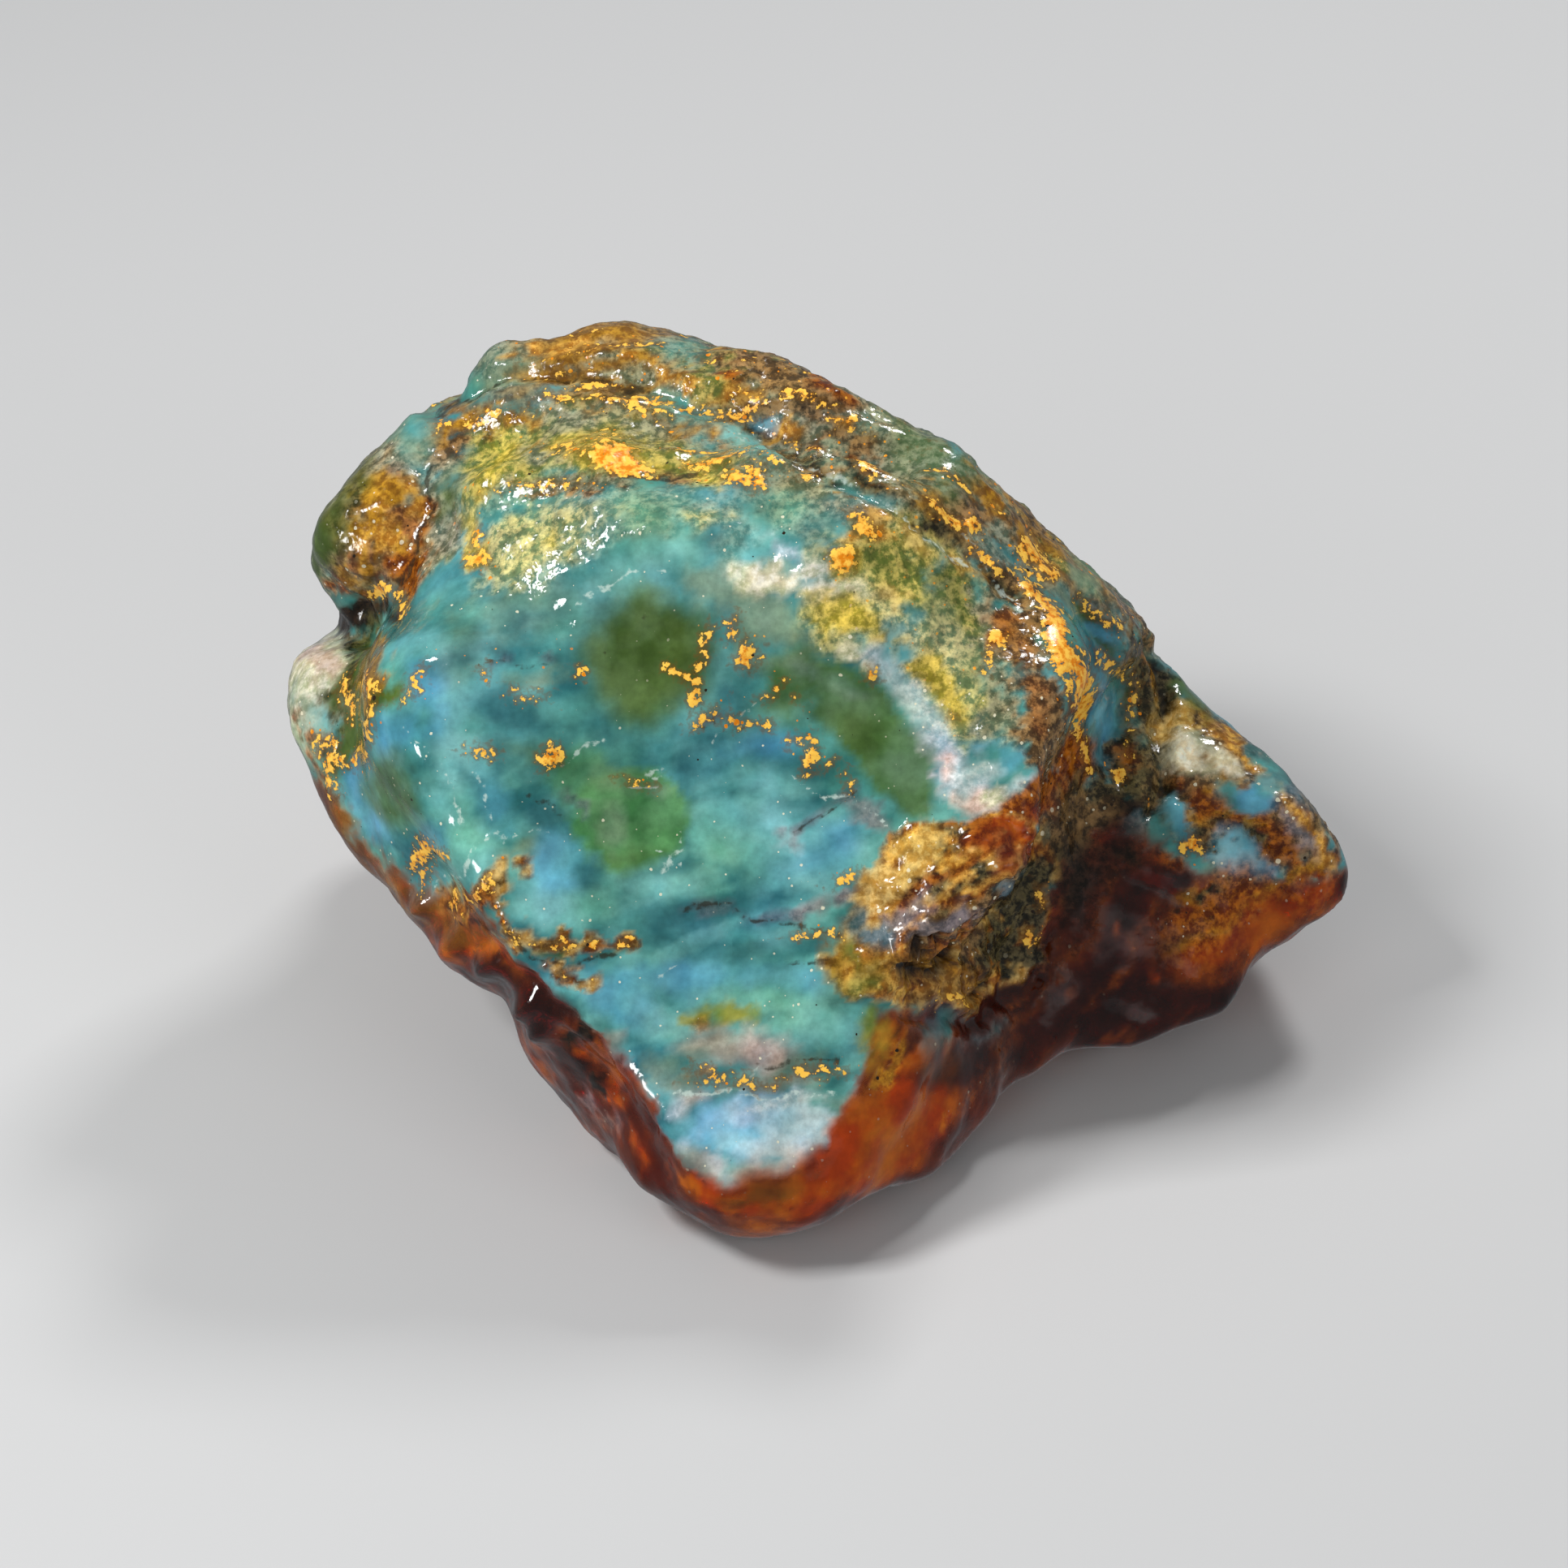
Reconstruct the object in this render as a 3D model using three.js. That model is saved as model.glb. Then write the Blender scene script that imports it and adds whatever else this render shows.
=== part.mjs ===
// A nodule of rough amber: one solid piece, 58 mm long, that lies on a small worn flat.
// The frame is +Z up, in millimetres, with the origin under the middle of the nodule, where it rests.
import * as THREE from "three";
import { ImprovedNoise } from "three/addons/math/ImprovedNoise.js";
import { mergeVertices } from "three/addons/utils/BufferGeometryUtils.js";

// Driving dimensions, in millimetres and degrees.
const LENGTH = 58; // along X, from the left lobe to the right tip
const FACE_LEAN = 35; // how far the broad face leans back from upright
const HUB_HEIGHT = 18.5; // of the point that every place below is measured from
const DETAIL = 21; // the mesh has 20 * (DETAIL + 1)^2 triangles
const JOIN_ROUND = 1.5; // where two masses meet
const BACK_ROUND = 4; // of the edges at the back
const FLAT_ROUND = 2; // of the edge of the resting flat

// Places and directions are given on the broad face: across it, up it, and out of it.
const lean = THREE.MathUtils.degToRad(FACE_LEAN);
const ACROSS = new THREE.Vector3(1, 0, 0);
const UP = new THREE.Vector3(0, Math.sin(lean), Math.cos(lean));
const OUT = new THREE.Vector3(0, -Math.cos(lean), Math.sin(lean));
const toPart = new THREE.Matrix4().makeBasis(ACROSS, UP, OUT).setPosition(0, 0, HUB_HEIGHT);
const toFace = toPart.clone().invert();

// A facet is a plane through a place, facing a direction. The material is behind it.
function facet(at, facing) {
  const normal = new THREE.Vector3(...facing).normalize();
  const offset = normal.dot(new THREE.Vector3(...at));
  return (p) => normal.dot(p) - offset;
}

// A block is what lies behind all of its facets, with its edges rounded by about a quarter of round.
function block(round, facets) {
  const planes = facets.map(([at, facing]) => facet(at, facing));
  return (p) => planes.map((plane) => plane(p)).reduce((a, b) => smoothMax(a, b, round));
}

// A lobe is an ellipsoid.
function lobe(at, radii) {
  const centre = new THREE.Vector3(...at);
  const size = new THREE.Vector3(...radii);
  return (p) => (p.clone().sub(centre).divide(size).length() - 1) * Math.min(...radii);
}

function smoothMax(a, b, round) {
  const h = Math.max(round - Math.abs(a - b), 0) / round;
  return Math.max(a, b) + (h * h * round) / 4;
}

const smoothMin = (a, b, round) => -smoothMax(-a, -b, round);

// The distance from p to a chain of points.
function chainDistance(p, chain) {
  let nearest = Infinity;
  for (let i = 1; i < chain.length; i += 1) {
    const line = new THREE.Line3(chain[i - 1], chain[i]);
    const foot = line.closestPointToPoint(p, true, new THREE.Vector3());
    nearest = Math.min(nearest, foot.distanceTo(p));
  }
  return nearest;
}

// ---- The outline ----

// The outline seen square on to the broad face: [across, up], clockwise from the top.
const OUTLINE = [
  [-10.2, 26], [-3.2, 23.9], [3.9, 21.2], [9.4, 18.5], [11.7, 15.9], [17.6, 11.4], [21, 7.5], [22.9, 3.8],
  [25.9, 1.8], [28.5, -0.2], [30.7, -3.8], [30.8, -6.2], [28.1, -10.4], [23.2, -13.6], [16.2, -15.2],
  [11, -18.1], [7.3, -21.2], [4.1, -22.9], [-1.1, -24.4], [-4.5, -22.6], [-8.2, -22], [-11.2, -18.8],
  [-13.8, -14.7], [-14.4, -11.2], [-19.3, -8.8], [-23, -7.3], [-27.2, -1.6], [-27.6, 4.6], [-27.2, 9],
  [-25.9, 12.3], [-23.3, 17.1], [-19.1, 21.4], [-15.3, 24.6],
];

// How far (across, up) is outside the outline. Inside it the distance is negative.
function outsideOutline(across, up) {
  let nearest = Infinity;
  let inside = false;
  OUTLINE.forEach(([a1, b1], i) => {
    const [a0, b0] = OUTLINE.at(i - 1);
    const along = ((across - a0) * (a1 - a0) + (up - b0) * (b1 - b0)) / ((a1 - a0) ** 2 + (b1 - b0) ** 2);
    const t = THREE.MathUtils.clamp(along, 0, 1);
    nearest = Math.min(nearest, Math.hypot(across - a0 - t * (a1 - a0), up - b0 - t * (b1 - b0)));
    if (b0 > up !== b1 > up && across < a0 + ((up - b0) * (a1 - a0)) / (b1 - b0)) inside = !inside;
  });
  return inside ? -nearest : nearest;
}

// The girth holds the outline where it is widest, and narrows in front of that and behind it.
// The widest place is farther back towards the top and towards both ends.
const BACK_CURVE = 0.02;
const FRONT_CURVE = 0.001;
function girth(p) {
  const widest = Math.max(-7 - 0.5 * p.y - 0.2 * Math.abs(p.x), -15);
  const away = p.z - widest;
  return outsideOutline(p.x, p.y) + (away < 0 ? BACK_CURVE : FRONT_CURVE) * away * away;
}

// ---- The masses ----

// The front mass carries the broad face. Its rounded upper edge is the nodule's main ridge.
const frontMass = block(2.5, [
  [[-4, 0, 9], [0, 0.03, 1]], // broad face, upper half
  [[-4, -8, 9], [-0.03, -0.08, 1]], // broad face, lower half
  [[-14, 9, 8], [-0.25, 0.45, 0.85]], // bevel under the ridge, left
  [[10, 8.5, 8], [0.35, 0.4, 0.85]], // bevel under the ridge, right
  [[-4, 17, 5.5], [-0.12, 0.75, 0.66]], // top
  [[-17.4, 14.5, 0.5], [-0.6, 0.7, 0.5]], // top left
  [[14.6, 9.4, 4], [0.72, 0.58, 0.4]], // right of the ridge
  [[17.2, 1, 5], [0.95, 0, 0.35]], // right end
  [[-20.5, 10, 0], [-0.9, 0.4, 0.1]], // left side
  [[-25, 2, 0], [-0.99, 0.1, 0]], // left end
  [[-19.5, -6.8, 6], [-0.7, -0.71, 0.25]], // lower left
  [[-10.8, -12.5, 8], [-0.77, -0.6, 0.25]], // underside, left
  [[8, -9.2, 5], [0.79, -0.62, 0.3]], // flank, right
  [[0, 0, -12], [0, 0, -1]], // back
]);

// The toe is the lower end of the broad face.
const toe = block(2, [
  [[-4, -8, 9], [-0.03, -0.08, 1]], // broad face, lower half
  [[-10.8, -12.5, 8], [-0.77, -0.6, 0.25]], // underside, left
  [[-2, -23, 6.5], [-0.1, -0.75, 0.65]], // tip
  [[4.5, -17, 8], [0.75, -0.2, 0.6]], // right
  [[0, -5, 0], [0, 1, -0.3]], // upper end, inside the front mass
  [[12, -16, 0], [0.95, 0.1, 0.3]], // right end
]);

// The core is what the other masses sit on.
const core = block(4, [
  [[-10, 8, 5], [-0.1, 0, 1]], // front
  [[-20, 9, -8], [-1, 0.2, 0.1]], // left
  [[0, 24, -6], [0, 0.9, 0.45]], // top
  [[-12, -15, 1.5], [-0.72, -0.5, 0.48]], // underside, left
  [[-2, -22.3, 5], [-0.1, -0.7, 0.7]], // under the toe's tip
  [[8, -16, 4.5], [0.3, -0.4, 0.8]], // flank beside the toe
  [[13, -10, 1], [0.35, -0.2, 0.9]], // flank
  [[20, 0, -5], [0.4, 0, 0.9]], // under the right lobe
  [[20, 8, -6], [0.7, 0.5, 0.6]], // top right
]);

// The crusted ledge stands out under the right end of the broad face, and overhangs the flank.
const crustLedge = block(2, [
  [[9, -5, 9.7], [0.1, 0.05, 1]], // front
  [[9.5, -8.6, 6], [0.63, -0.75, 0.2]], // lower right
  [[14.6, -3, 6], [0.95, -0.1, 0.3]], // right
  [[3.6, -10.5, 8], [-0.6, -0.7, 0.4]], // lower left
  [[4, -2.5, 9], [-0.6, 0.6, 0.8]], // upper left
  [[10, 0, 9], [0, 0.7, 0.7]], // top
  [[9, -5, 0], [0.2, -0.2, -1]], // the overhang
]);

const backHump = lobe([-8, 20, -9], [16, 6, 8]);
const rib = lobe([14.5, 5, -5], [7.5, 10, 6.5]);
const leftKnob = lobe([-18, 13.8, -8], [9.5, 7, 8]);
const leftHeel = lobe([-19, 2.4, -8], [10, 8, 8]);
const toeHeel = lobe([-6.3, -19.2, 1.5], [3.6, 3.6, 4]);

// The right lobe ends in a blunt tip.
const rightLobe = block(1.5, [
  [[24.5, -1, -5.2], [0.3, 0.45, 0.85]], // upper facet
  [[24.5, -5, -5.7], [0.3, -0.4, 0.87]], // lower facet
  [[30, -4, -8], [0.9, 0, 0.5]], // tip
  [[17, 0, -14], [-1, 0, 0.4]], // left, inside the core
  [[20, 8, -8], [0.4, 0.8, 0.3]], // top
]);

// ---- The back and the underside, in the part's own axes ----

const behind = [
  [[-16, 0, 2], [-0.75, 0, -0.66]], // underside, left
  [[23, 2, 0.8], [0.5, 0, -0.86]], // underside, right
  [[0, 20, 2.5], [0, 0.7, -0.7]], // underside, back
  [[0, 28, 18], [0, 1, 0.1]], // back
  [[-16, 25, 18], [-0.6, 0.8, 0.2]], // back, left
  [[18, 23, 14], [0.6, 0.8, 0.2]], // back, right
].map(([at, facing]) => facet(at, facing));

// ---- The hollows ----

const groove = (round, ...chain) => ({ chain: chain.map((at) => new THREE.Vector3(...at)), round });
const grooves = [
  groove(1.6, [20.8, 6, -6], [20.4, 1, -5.5], [19.8, -3, -5]), // between rib and right lobe
  groove(1, [-28, 9.4, -16], [-25, 9, -7], [-22, 8.7, -4]), // between left knob and left heel
  groove(4, [19.4, 0, 1], [18, -5, 2.5], [17.5, -10, 4]), // dark corner of the flank
  groove(1.6, [-17.7, 20, 0], [-9.4, 21.5, 2], [-0.3, 19.6, 3.6], [6, 17.6, 4]), // behind the ridge
];
const dish = lobe([-3, -4, 27], [24, 20, 19.4]); // its lower end hollows the broad face

// Shallow swellings of two sizes, and the height of each.
const noise = new ImprovedNoise();
const bumps = (p, apart, height) => height * noise.noise(...p.clone().divideScalar(apart));
const swell = (p) => bumps(p, 8, 1.2) + bumps(p, 3.6, 0.5);

// The signed distance to the nodule's surface, roughly, at p in the part's axes. It is negative inside.
const masses = [frontMass, toe, toeHeel, crustLedge, backHump, rib, leftKnob, leftHeel, rightLobe];
function nodule(p) {
  const q = p.clone().applyMatrix4(toFace);
  let d = core(q);
  for (const mass of masses) d = smoothMin(d, mass(q), JOIN_ROUND);
  for (const { chain, round } of grooves) d = smoothMax(d, round - chainDistance(q, chain), 2 * round);
  d = smoothMax(d, -dish(q), JOIN_ROUND);
  d = smoothMax(d, girth(q), JOIN_ROUND);
  for (const plane of behind) d = smoothMax(d, plane(p), BACK_ROUND);
  return smoothMax(d + swell(p), -p.z, FLAT_ROUND);
}

// ---- The mesh ----

// Each vertex is where a straight ray from the centre leaves the nodule.
const CENTRE = new THREE.Vector3(0, 3, 13);
const FARTHEST = 45; // no ray is longer
const STEP = 0.5; // of the walk inward along a ray
const HALVINGS = 20; // of the last step

function surfacePoint(ray) {
  const p = new THREE.Vector3();
  const inside = (r) => nodule(p.copy(ray).multiplyScalar(r).add(CENTRE)) < 0;
  let near = FARTHEST;
  while (near > 0 && !inside(near)) near -= STEP;
  let far = near + STEP;
  for (let i = 0; i < HALVINGS; i += 1) {
    const middle = (near + far) / 2;
    if (inside(middle)) near = middle;
    else far = middle;
  }
  return p.copy(ray).multiplyScalar(near).add(CENTRE);
}

function noduleGeometry() {
  const sphere = new THREE.IcosahedronGeometry(1, DETAIL);
  sphere.deleteAttribute("normal");
  sphere.deleteAttribute("uv");
  const geometry = mergeVertices(sphere, 1e-5);
  const position = geometry.getAttribute("position");
  const ray = new THREE.Vector3();
  for (let i = 0; i < position.count; i += 1) {
    ray.fromBufferAttribute(position, i).normalize();
    const p = surfacePoint(ray);
    position.setXYZ(i, p.x, p.y, Math.max(p.z, 0));
  }
  return geometry;
}

// Sizes the nodule to its length, and sets it on the floor with its middle over the origin.
function settle(geometry) {
  geometry.computeBoundingBox();
  const { min, max } = geometry.boundingBox;
  const scale = LENGTH / (max.x - min.x);
  geometry.translate(-(min.x + max.x) / 2, -(min.y + max.y) / 2, -min.z);
  geometry.scale(scale, scale, scale);
  geometry.computeVertexNormals();
  return geometry;
}

const amber = new THREE.Mesh(
  settle(noduleGeometry()),
  new THREE.MeshStandardMaterial({ color: 0x3f8f96, roughness: 0.25, metalness: 0 }),
);
amber.name = "amber";

const part = new THREE.Group();
part.add(amber);

export default part;
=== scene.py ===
"""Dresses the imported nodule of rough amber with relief, colours and gloss, and lights it.

Places on the nodule are millimetres on its broad face: across it, up it, and out of it.
"""
import math

import bpy
import numpy as np
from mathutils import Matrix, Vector, noise


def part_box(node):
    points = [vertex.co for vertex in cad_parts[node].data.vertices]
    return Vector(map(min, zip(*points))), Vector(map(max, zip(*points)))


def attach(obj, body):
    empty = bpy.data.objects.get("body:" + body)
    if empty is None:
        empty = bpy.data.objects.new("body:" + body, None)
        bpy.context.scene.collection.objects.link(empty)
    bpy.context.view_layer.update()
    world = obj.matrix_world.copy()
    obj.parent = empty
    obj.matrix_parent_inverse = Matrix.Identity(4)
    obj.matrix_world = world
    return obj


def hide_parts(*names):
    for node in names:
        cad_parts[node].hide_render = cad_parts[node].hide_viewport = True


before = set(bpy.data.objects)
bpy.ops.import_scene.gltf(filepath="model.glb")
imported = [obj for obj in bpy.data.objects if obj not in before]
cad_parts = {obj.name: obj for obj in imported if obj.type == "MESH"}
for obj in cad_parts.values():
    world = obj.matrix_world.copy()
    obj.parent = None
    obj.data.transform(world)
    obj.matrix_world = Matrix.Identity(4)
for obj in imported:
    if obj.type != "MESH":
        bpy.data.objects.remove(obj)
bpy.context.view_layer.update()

# ---- The broad face's own axes

FACE_LEAN = math.radians(35)  # back from upright
PLAN_LENGTH = 58.53  # of the nodule, in the millimetres of the places below
HUB = (0.4653, 0.4099, 0.5021)  # where they start, as fractions of the node's box
SIGHT = 350.0  # they are as seen from this far out of the hub

low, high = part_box("amber")
size = high - low
MM = size.x / PLAN_LENGTH
hub = low + Vector(f * s for f, s in zip(HUB, size))
ACROSS = Vector((1, 0, 0))
UP = Vector((0, math.sin(FACE_LEAN), math.cos(FACE_LEAN)))
OUT = Vector((0, -math.cos(FACE_LEAN), math.sin(FACE_LEAN)))
BASIS = np.array([ACROSS, UP, OUT])

# ---- Camera

SENSOR = 36.0
VIEW_WIDTH = 84.04  # millimetres across the picture at the hub
scene = bpy.context.scene
camera_data = bpy.data.cameras.new("camera")
camera_data.sensor_width = SENSOR
camera_data.lens = SENSOR * SIGHT / VIEW_WIDTH
camera_data.clip_start = 0.01
camera = bpy.data.objects.new("camera", camera_data)
scene.collection.objects.link(camera)
camera.location = hub + OUT * SIGHT * MM
camera.rotation_mode = "QUATERNION"
camera.rotation_quaternion = (-OUT).to_track_quat("-Z", "Y")
scene.camera = camera

# ---- The skin: the solid's mesh, made fine and even

WELD = 0.01  # millimetres: corners closer than this become one
VOXEL = 0.33  # millimetres
SMOOTHING_ROUNDS = 4

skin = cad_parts["amber"].copy()
skin.data = skin.data.copy()
skin.name = "amber_skin"
skin.parent = None
scene.collection.objects.link(skin)
skin.modifiers.new("joining", "WELD").merge_threshold = WELD * MM
skin.modifiers.new("rounding", "SUBSURF").levels = 1
remesh = skin.modifiers.new("remesh", "REMESH")
remesh.mode = "VOXEL"
remesh.voxel_size = VOXEL * MM
smoothing = skin.modifiers.new("smoothing", "SMOOTH")
smoothing.iterations = SMOOTHING_ROUNDS
evaluated = skin.evaluated_get(bpy.context.evaluated_depsgraph_get())
mesh = bpy.data.meshes.new_from_object(evaluated)
skin.modifiers.clear()
skin.data = mesh
mesh.materials.clear()
mesh.shade_smooth()
for tag in list(skin.keys()):
    del skin[tag]
count = len(mesh.vertices)


def read(items, field):
    values = np.empty(count * 3)
    items.foreach_get(field, values)
    return values.reshape(-1, 3)


coords = read(mesh.vertices, "co")
normals = read(mesh.vertex_normals, "vector")

face = (coords - np.array(hub)) @ BASIS.T / MM
facing = normals @ BASIS.T
depth = face[:, 2]
height = coords[:, 2] / MM

# ---- Fields: one number for each vertex


def rough(length, octaves=1, stretch=(1, 1, 1), seed=0, of=None):
    """Noise from about -1 to 1, with bumps about length millimetres apart."""
    points = (face if of is None else of) / (np.array(stretch) * length) + 31.7 * seed
    return np.array([noise.fractal(p, 1.0, 2.0, octaves) for p in points.tolist()])


def turned(slope):
    """Places in axes of which the first climbs the broad face by that slope."""
    return np.stack([face[:, 0] + slope * face[:, 1], face[:, 1] - slope * face[:, 0], face[:, 2]], axis=1)


def step(value, start, end):
    """Climbs smoothly from 0 at start to 1 at end."""
    t = np.clip((value - start) / (end - start), 0, 1)
    return t * t * (3 - 2 * t)


# From SIGHT away, what stands out of the face looks a little larger.
nearness = 1 - depth / SIGHT
true_across = face[:, 0] / nearness
true_up = face[:, 1] / nearness

# Painted places are bent by noise, so no patch has a plain edge.
across = true_across + 0.6 * rough(2.8, 3, seed=1)
up = true_up + 0.6 * rough(2.8, 3, seed=3)
fringe = 0.55 * rough(0.75, 3, seed=2)
wobble = rough(3.2, 3, seed=24)

# 1 on the sides that the broad face looks towards, 0 on the back and the underside.
front = step(facing[:, 2] + 0.25 * rough(1.6, 3, seed=5), -0.35, 0) * step(depth, -20, -15)


def within(spot):
    """How far inside an ellipse each vertex is, in millimetres: (across, up, wide, tall, turn)."""
    a, b, wide, tall, turn = (*spot, 0)[:5]
    c, s = math.cos(math.radians(turn)), math.sin(math.radians(turn))
    x = ((across - a) * c + (up - b) * s) / wide
    y = ((up - b) * c - (across - a) * s) / tall
    reach = np.hypot(x, y)
    outside = reach / np.maximum(np.hypot(x / wide, y / tall), 1e-6)
    return (1 - reach) * np.where(reach < 1, min(wide, tall), outside)


def near(chain, half_width):
    """How far inside a line of that half width each vertex is, in millimetres."""
    best = np.full(count, 1e9)
    for (a0, b0), (a1, b1) in zip(chain, chain[1:]):
        run = (a1 - a0) ** 2 + (b1 - b0) ** 2
        t = np.clip(((across - a0) * (a1 - a0) + (up - b0) * (b1 - b0)) / run, 0, 1)
        best = np.minimum(best, np.hypot(across - a0 - t * (a1 - a0), up - b0 - t * (b1 - b0)))
    return half_width - best


def inside(corners):
    """How far inside a polygon each vertex is, in millimetres."""
    ring = [*corners, corners[0]]
    odd = np.zeros(count, bool)
    for (a0, b0), (a1, b1) in zip(ring, ring[1:]):
        if b0 != b1:
            odd ^= ((b0 > up) != (b1 > up)) & (across < a0 + (up - b0) * (a1 - a0) / (b1 - b0))
    gap = -near(ring, 0)
    return np.where(odd, gap, -gap)


def farthest(*fields):
    return np.maximum.reduce(fields)


def ellipses(table):
    return farthest(*[within(spot) for spot in table])


def lines(table):
    """Each row of the table is a half width and the points of a chain."""
    return farthest(*[near(chain, half_width) for half_width, *chain in table])


# ---- Layers over the top and the back, round a line behind the broad face

LAYER_HUB = (-6, -12)  # across and up
LAYER_RADIUS = 30  # of the layer whose lengths are true
LAYER_DIP = 0.9  # how far the layers sink for each millimetre backwards

from_hub_across = face[:, 0] - LAYER_HUB[0]
from_hub_up = face[:, 1] - LAYER_HUB[1]
layer_along = np.arctan2(from_hub_across, from_hub_up) * LAYER_RADIUS
layer_across = np.hypot(from_hub_across, from_hub_up) - LAYER_DIP * depth + 0.8 * rough(7, 2, seed=6)
layer = np.stack([layer_along, layer_across, 0.5 * depth], axis=1)
on_top = step(up + 0.35 * across, 14.2, 17.5) * step(across, 22, 19)
layered = np.maximum(on_top * front, 1 - front)

# ---- Looks: a colour, the colour of its grains, how coarse it is, and how clear

TINT = slice(0, 3)
GRAINS = slice(3, 6)
BOTH_COLOURS = slice(0, 6)
BOTH_BLUES = (2, 5)
COARSE = 6
CLEAR = 7
LOOKS = {
    "teal": (0.042, 0.2, 0.19, 0.1, 0.33, 0.3, 0.06, 0),
    "aqua": (0.11, 0.35, 0.31, 0.19, 0.47, 0.42, 0.08, 0),
    "sky": (0.06, 0.25, 0.35, 0.12, 0.38, 0.48, 0.04, 0),
    "bright sky": (0.13, 0.42, 0.56, 0.3, 0.58, 0.68, 0.1, 0),
    "pale blue": (0.28, 0.46, 0.56, 0.52, 0.66, 0.72, 0.2, 0),
    "deep": (0.008, 0.075, 0.09, 0.03, 0.15, 0.15, 0.05, 0),
    "green": (0.04, 0.16, 0.05, 0.11, 0.3, 0.12, 0.1, 0),
    "olive": (0.038, 0.07, 0.006, 0.085, 0.14, 0.03, 0.1, 0),
    "moss": (0.05, 0.12, 0.035, 0.1, 0.19, 0.085, 0.08, 0),
    "sage": (0.11, 0.2, 0.13, 0.21, 0.29, 0.19, 0.2, 0),
    "granite": (0.09, 0.11, 0.06, 0.34, 0.33, 0.2, 0.8, 0),
    "lime": (0.14, 0.2, 0.015, 0.42, 0.36, 0.04, 0.15, 0),
    "yellow": (0.3, 0.24, 0.02, 0.72, 0.52, 0.08, 0.7, 0),
    "rind": (0.13, 0.16, 0.03, 0.56, 0.45, 0.11, 0.75, 0),
    "cream": (0.42, 0.43, 0.23, 0.78, 0.72, 0.5, 0.45, 0),
    "chalk and highlight": (0.88, 0.74, 0.46, 1, 0.96, 0.74, 0.35, 0),
    "meal": (0.15, 0.21, 0.09, 0.64, 0.57, 0.22, 0.75, 0),
    "pink": (0.46, 0.3, 0.22, 0.74, 0.56, 0.46, 0.3, 0),
    "milk": (0.28, 0.4, 0.4, 0.6, 0.66, 0.64, 0.35, 0),
    "slate": (0.04, 0.085, 0.095, 0.15, 0.19, 0.19, 0.3, 0),
    "mauve": (0.12, 0.108, 0.112, 0.31, 0.255, 0.235, 0.35, 0),
    "bark": (0.07, 0.04, 0.016, 0.33, 0.19, 0.07, 0.85, 0),
    "shadow": (0.016, 0.014, 0.007, 0.12, 0.095, 0.04, 0.8, 0),
    "ochre": (0.36, 0.14, 0.012, 0.74, 0.4, 0.07, 0.7, 0),
    "straw": (0.52, 0.28, 0.05, 0.8, 0.54, 0.17, 0.6, 0),
    "mustard": (0.23, 0.095, 0.006, 0.52, 0.26, 0.018, 0.55, 0.1),
    "frost": (0.08, 0.21, 0.17, 0.23, 0.36, 0.27, 0.6, 0),
    "rust": (0.11, 0.02, 0.001, 0.44, 0.13, 0.008, 0.6, 0.1),
    "honey": (0.36, 0.09, 0.003, 0.64, 0.22, 0.012, 0.08, 0.75),
    "amber": (0.26, 0.022, 0, 0.56, 0.075, 0.001, 0.12, 0.8),
    "flame": (0.7, 0.07, 0, 1, 0.23, 0.003, 0.1, 0.55),
    "wine": (0.06, 0.006, 0, 0.24, 0.024, 0.001, 0.1, 0.9),
    "dark": (0.006, 0.004, 0.002, 0.028, 0.015, 0.008, 0.35, 0),
}
look = np.empty((count, 8))


def paint(name, amount):
    """Moves the look of each vertex towards the named one: 0 leaves it, 1 replaces it."""
    look[:] += (np.array(LOOKS[name]) - look) * np.clip(amount, 0, 1)[:, None]


def dabs(name, soft, strength, *places):
    """Paints ellipses on the front, with edges that fade over soft millimetres."""
    coarse = LOOKS[name][COARSE]
    for place in places:
        bend = 0.45 * min(place[2], place[3], 1.5) * wobble
        edge = within(place) + bend + fringe * (0.35 + coarse)
        paint(name, strength * front * step(edge, -0.35 * soft, 0.65 * soft))


# ---- The base coat: clouds of blue-green

look[:] = LOOKS["teal"]
tone = rough(5.5, 3, seed=23)
paint("deep", 0.55 * step(tone, 0.05, 0.5))
paint("aqua", 0.5 * step(-tone, 0.05, 0.5))

# ---- The back and the top: layered blue-green, brown and gold

band = rough(1.8, 3, stretch=(4, 1, 1), seed=7, of=layer)
patches = rough(9, 2, seed=8)
fine_band = rough(0.8, 2, stretch=(3.5, 1, 1), seed=17, of=layer)
paint("granite", layered)
paint("frost", step(0.6 * band - patches, 0, 0.3) * layered * (1 - 0.7 * front))
paint("teal", step(0.4 * band - patches, 0.3, 0.6) * layered * (1 - front))
paint("bark", step(band + 0.6 * patches, 0, 0.3) * layered * 0.9)
paint("rind", step(0.5 * band + patches, 0.2, 0.5) * layered * 0.8)
paint("mustard", step(-band + 0.4 * fine_band + 0.3 * patches, 0.15, 0.35) * layered * 0.9)
paint("shadow", step(fine_band - 0.4 * band, 0.35, 0.55) * layered * 0.7)

# ---- The lower part: bare amber, in front below the blue-green skin

BARE_HEIGHT = 9  # millimetres over the floor, at the back
SKIN_EDGE = [
    (-28, 2), (-25.6, -1), (-24, -3.3), (-22, -5.2), (-19.6, -6), (-17.4, -6.8), (-15.4, -8.4),
    (-13.3, -10.4), (-11.9, -12.6), (-10, -13.9), (-8.4, -15.2), (-6.6, -18), (-5.3, -20.1),
    (-3.6, -21.3), (-1.4, -20.8), (1, -20.3), (2.7, -19.3), (3.1, -18), (3.6, -16), (4.4, -14),
    (5.2, -12.4), (8, -11.9), (11, -11.6), (13.5, -9.5), (14.3, -6), (14.6, -2.6), (17, -2),
    (19, -3.2), (21, -4.3), (23, -5.4), (25, -5.7), (27, -5.2), (29, -5), (32, -4),
]
edge_across, edge_up = np.array(SKIN_EDGE).T
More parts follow.
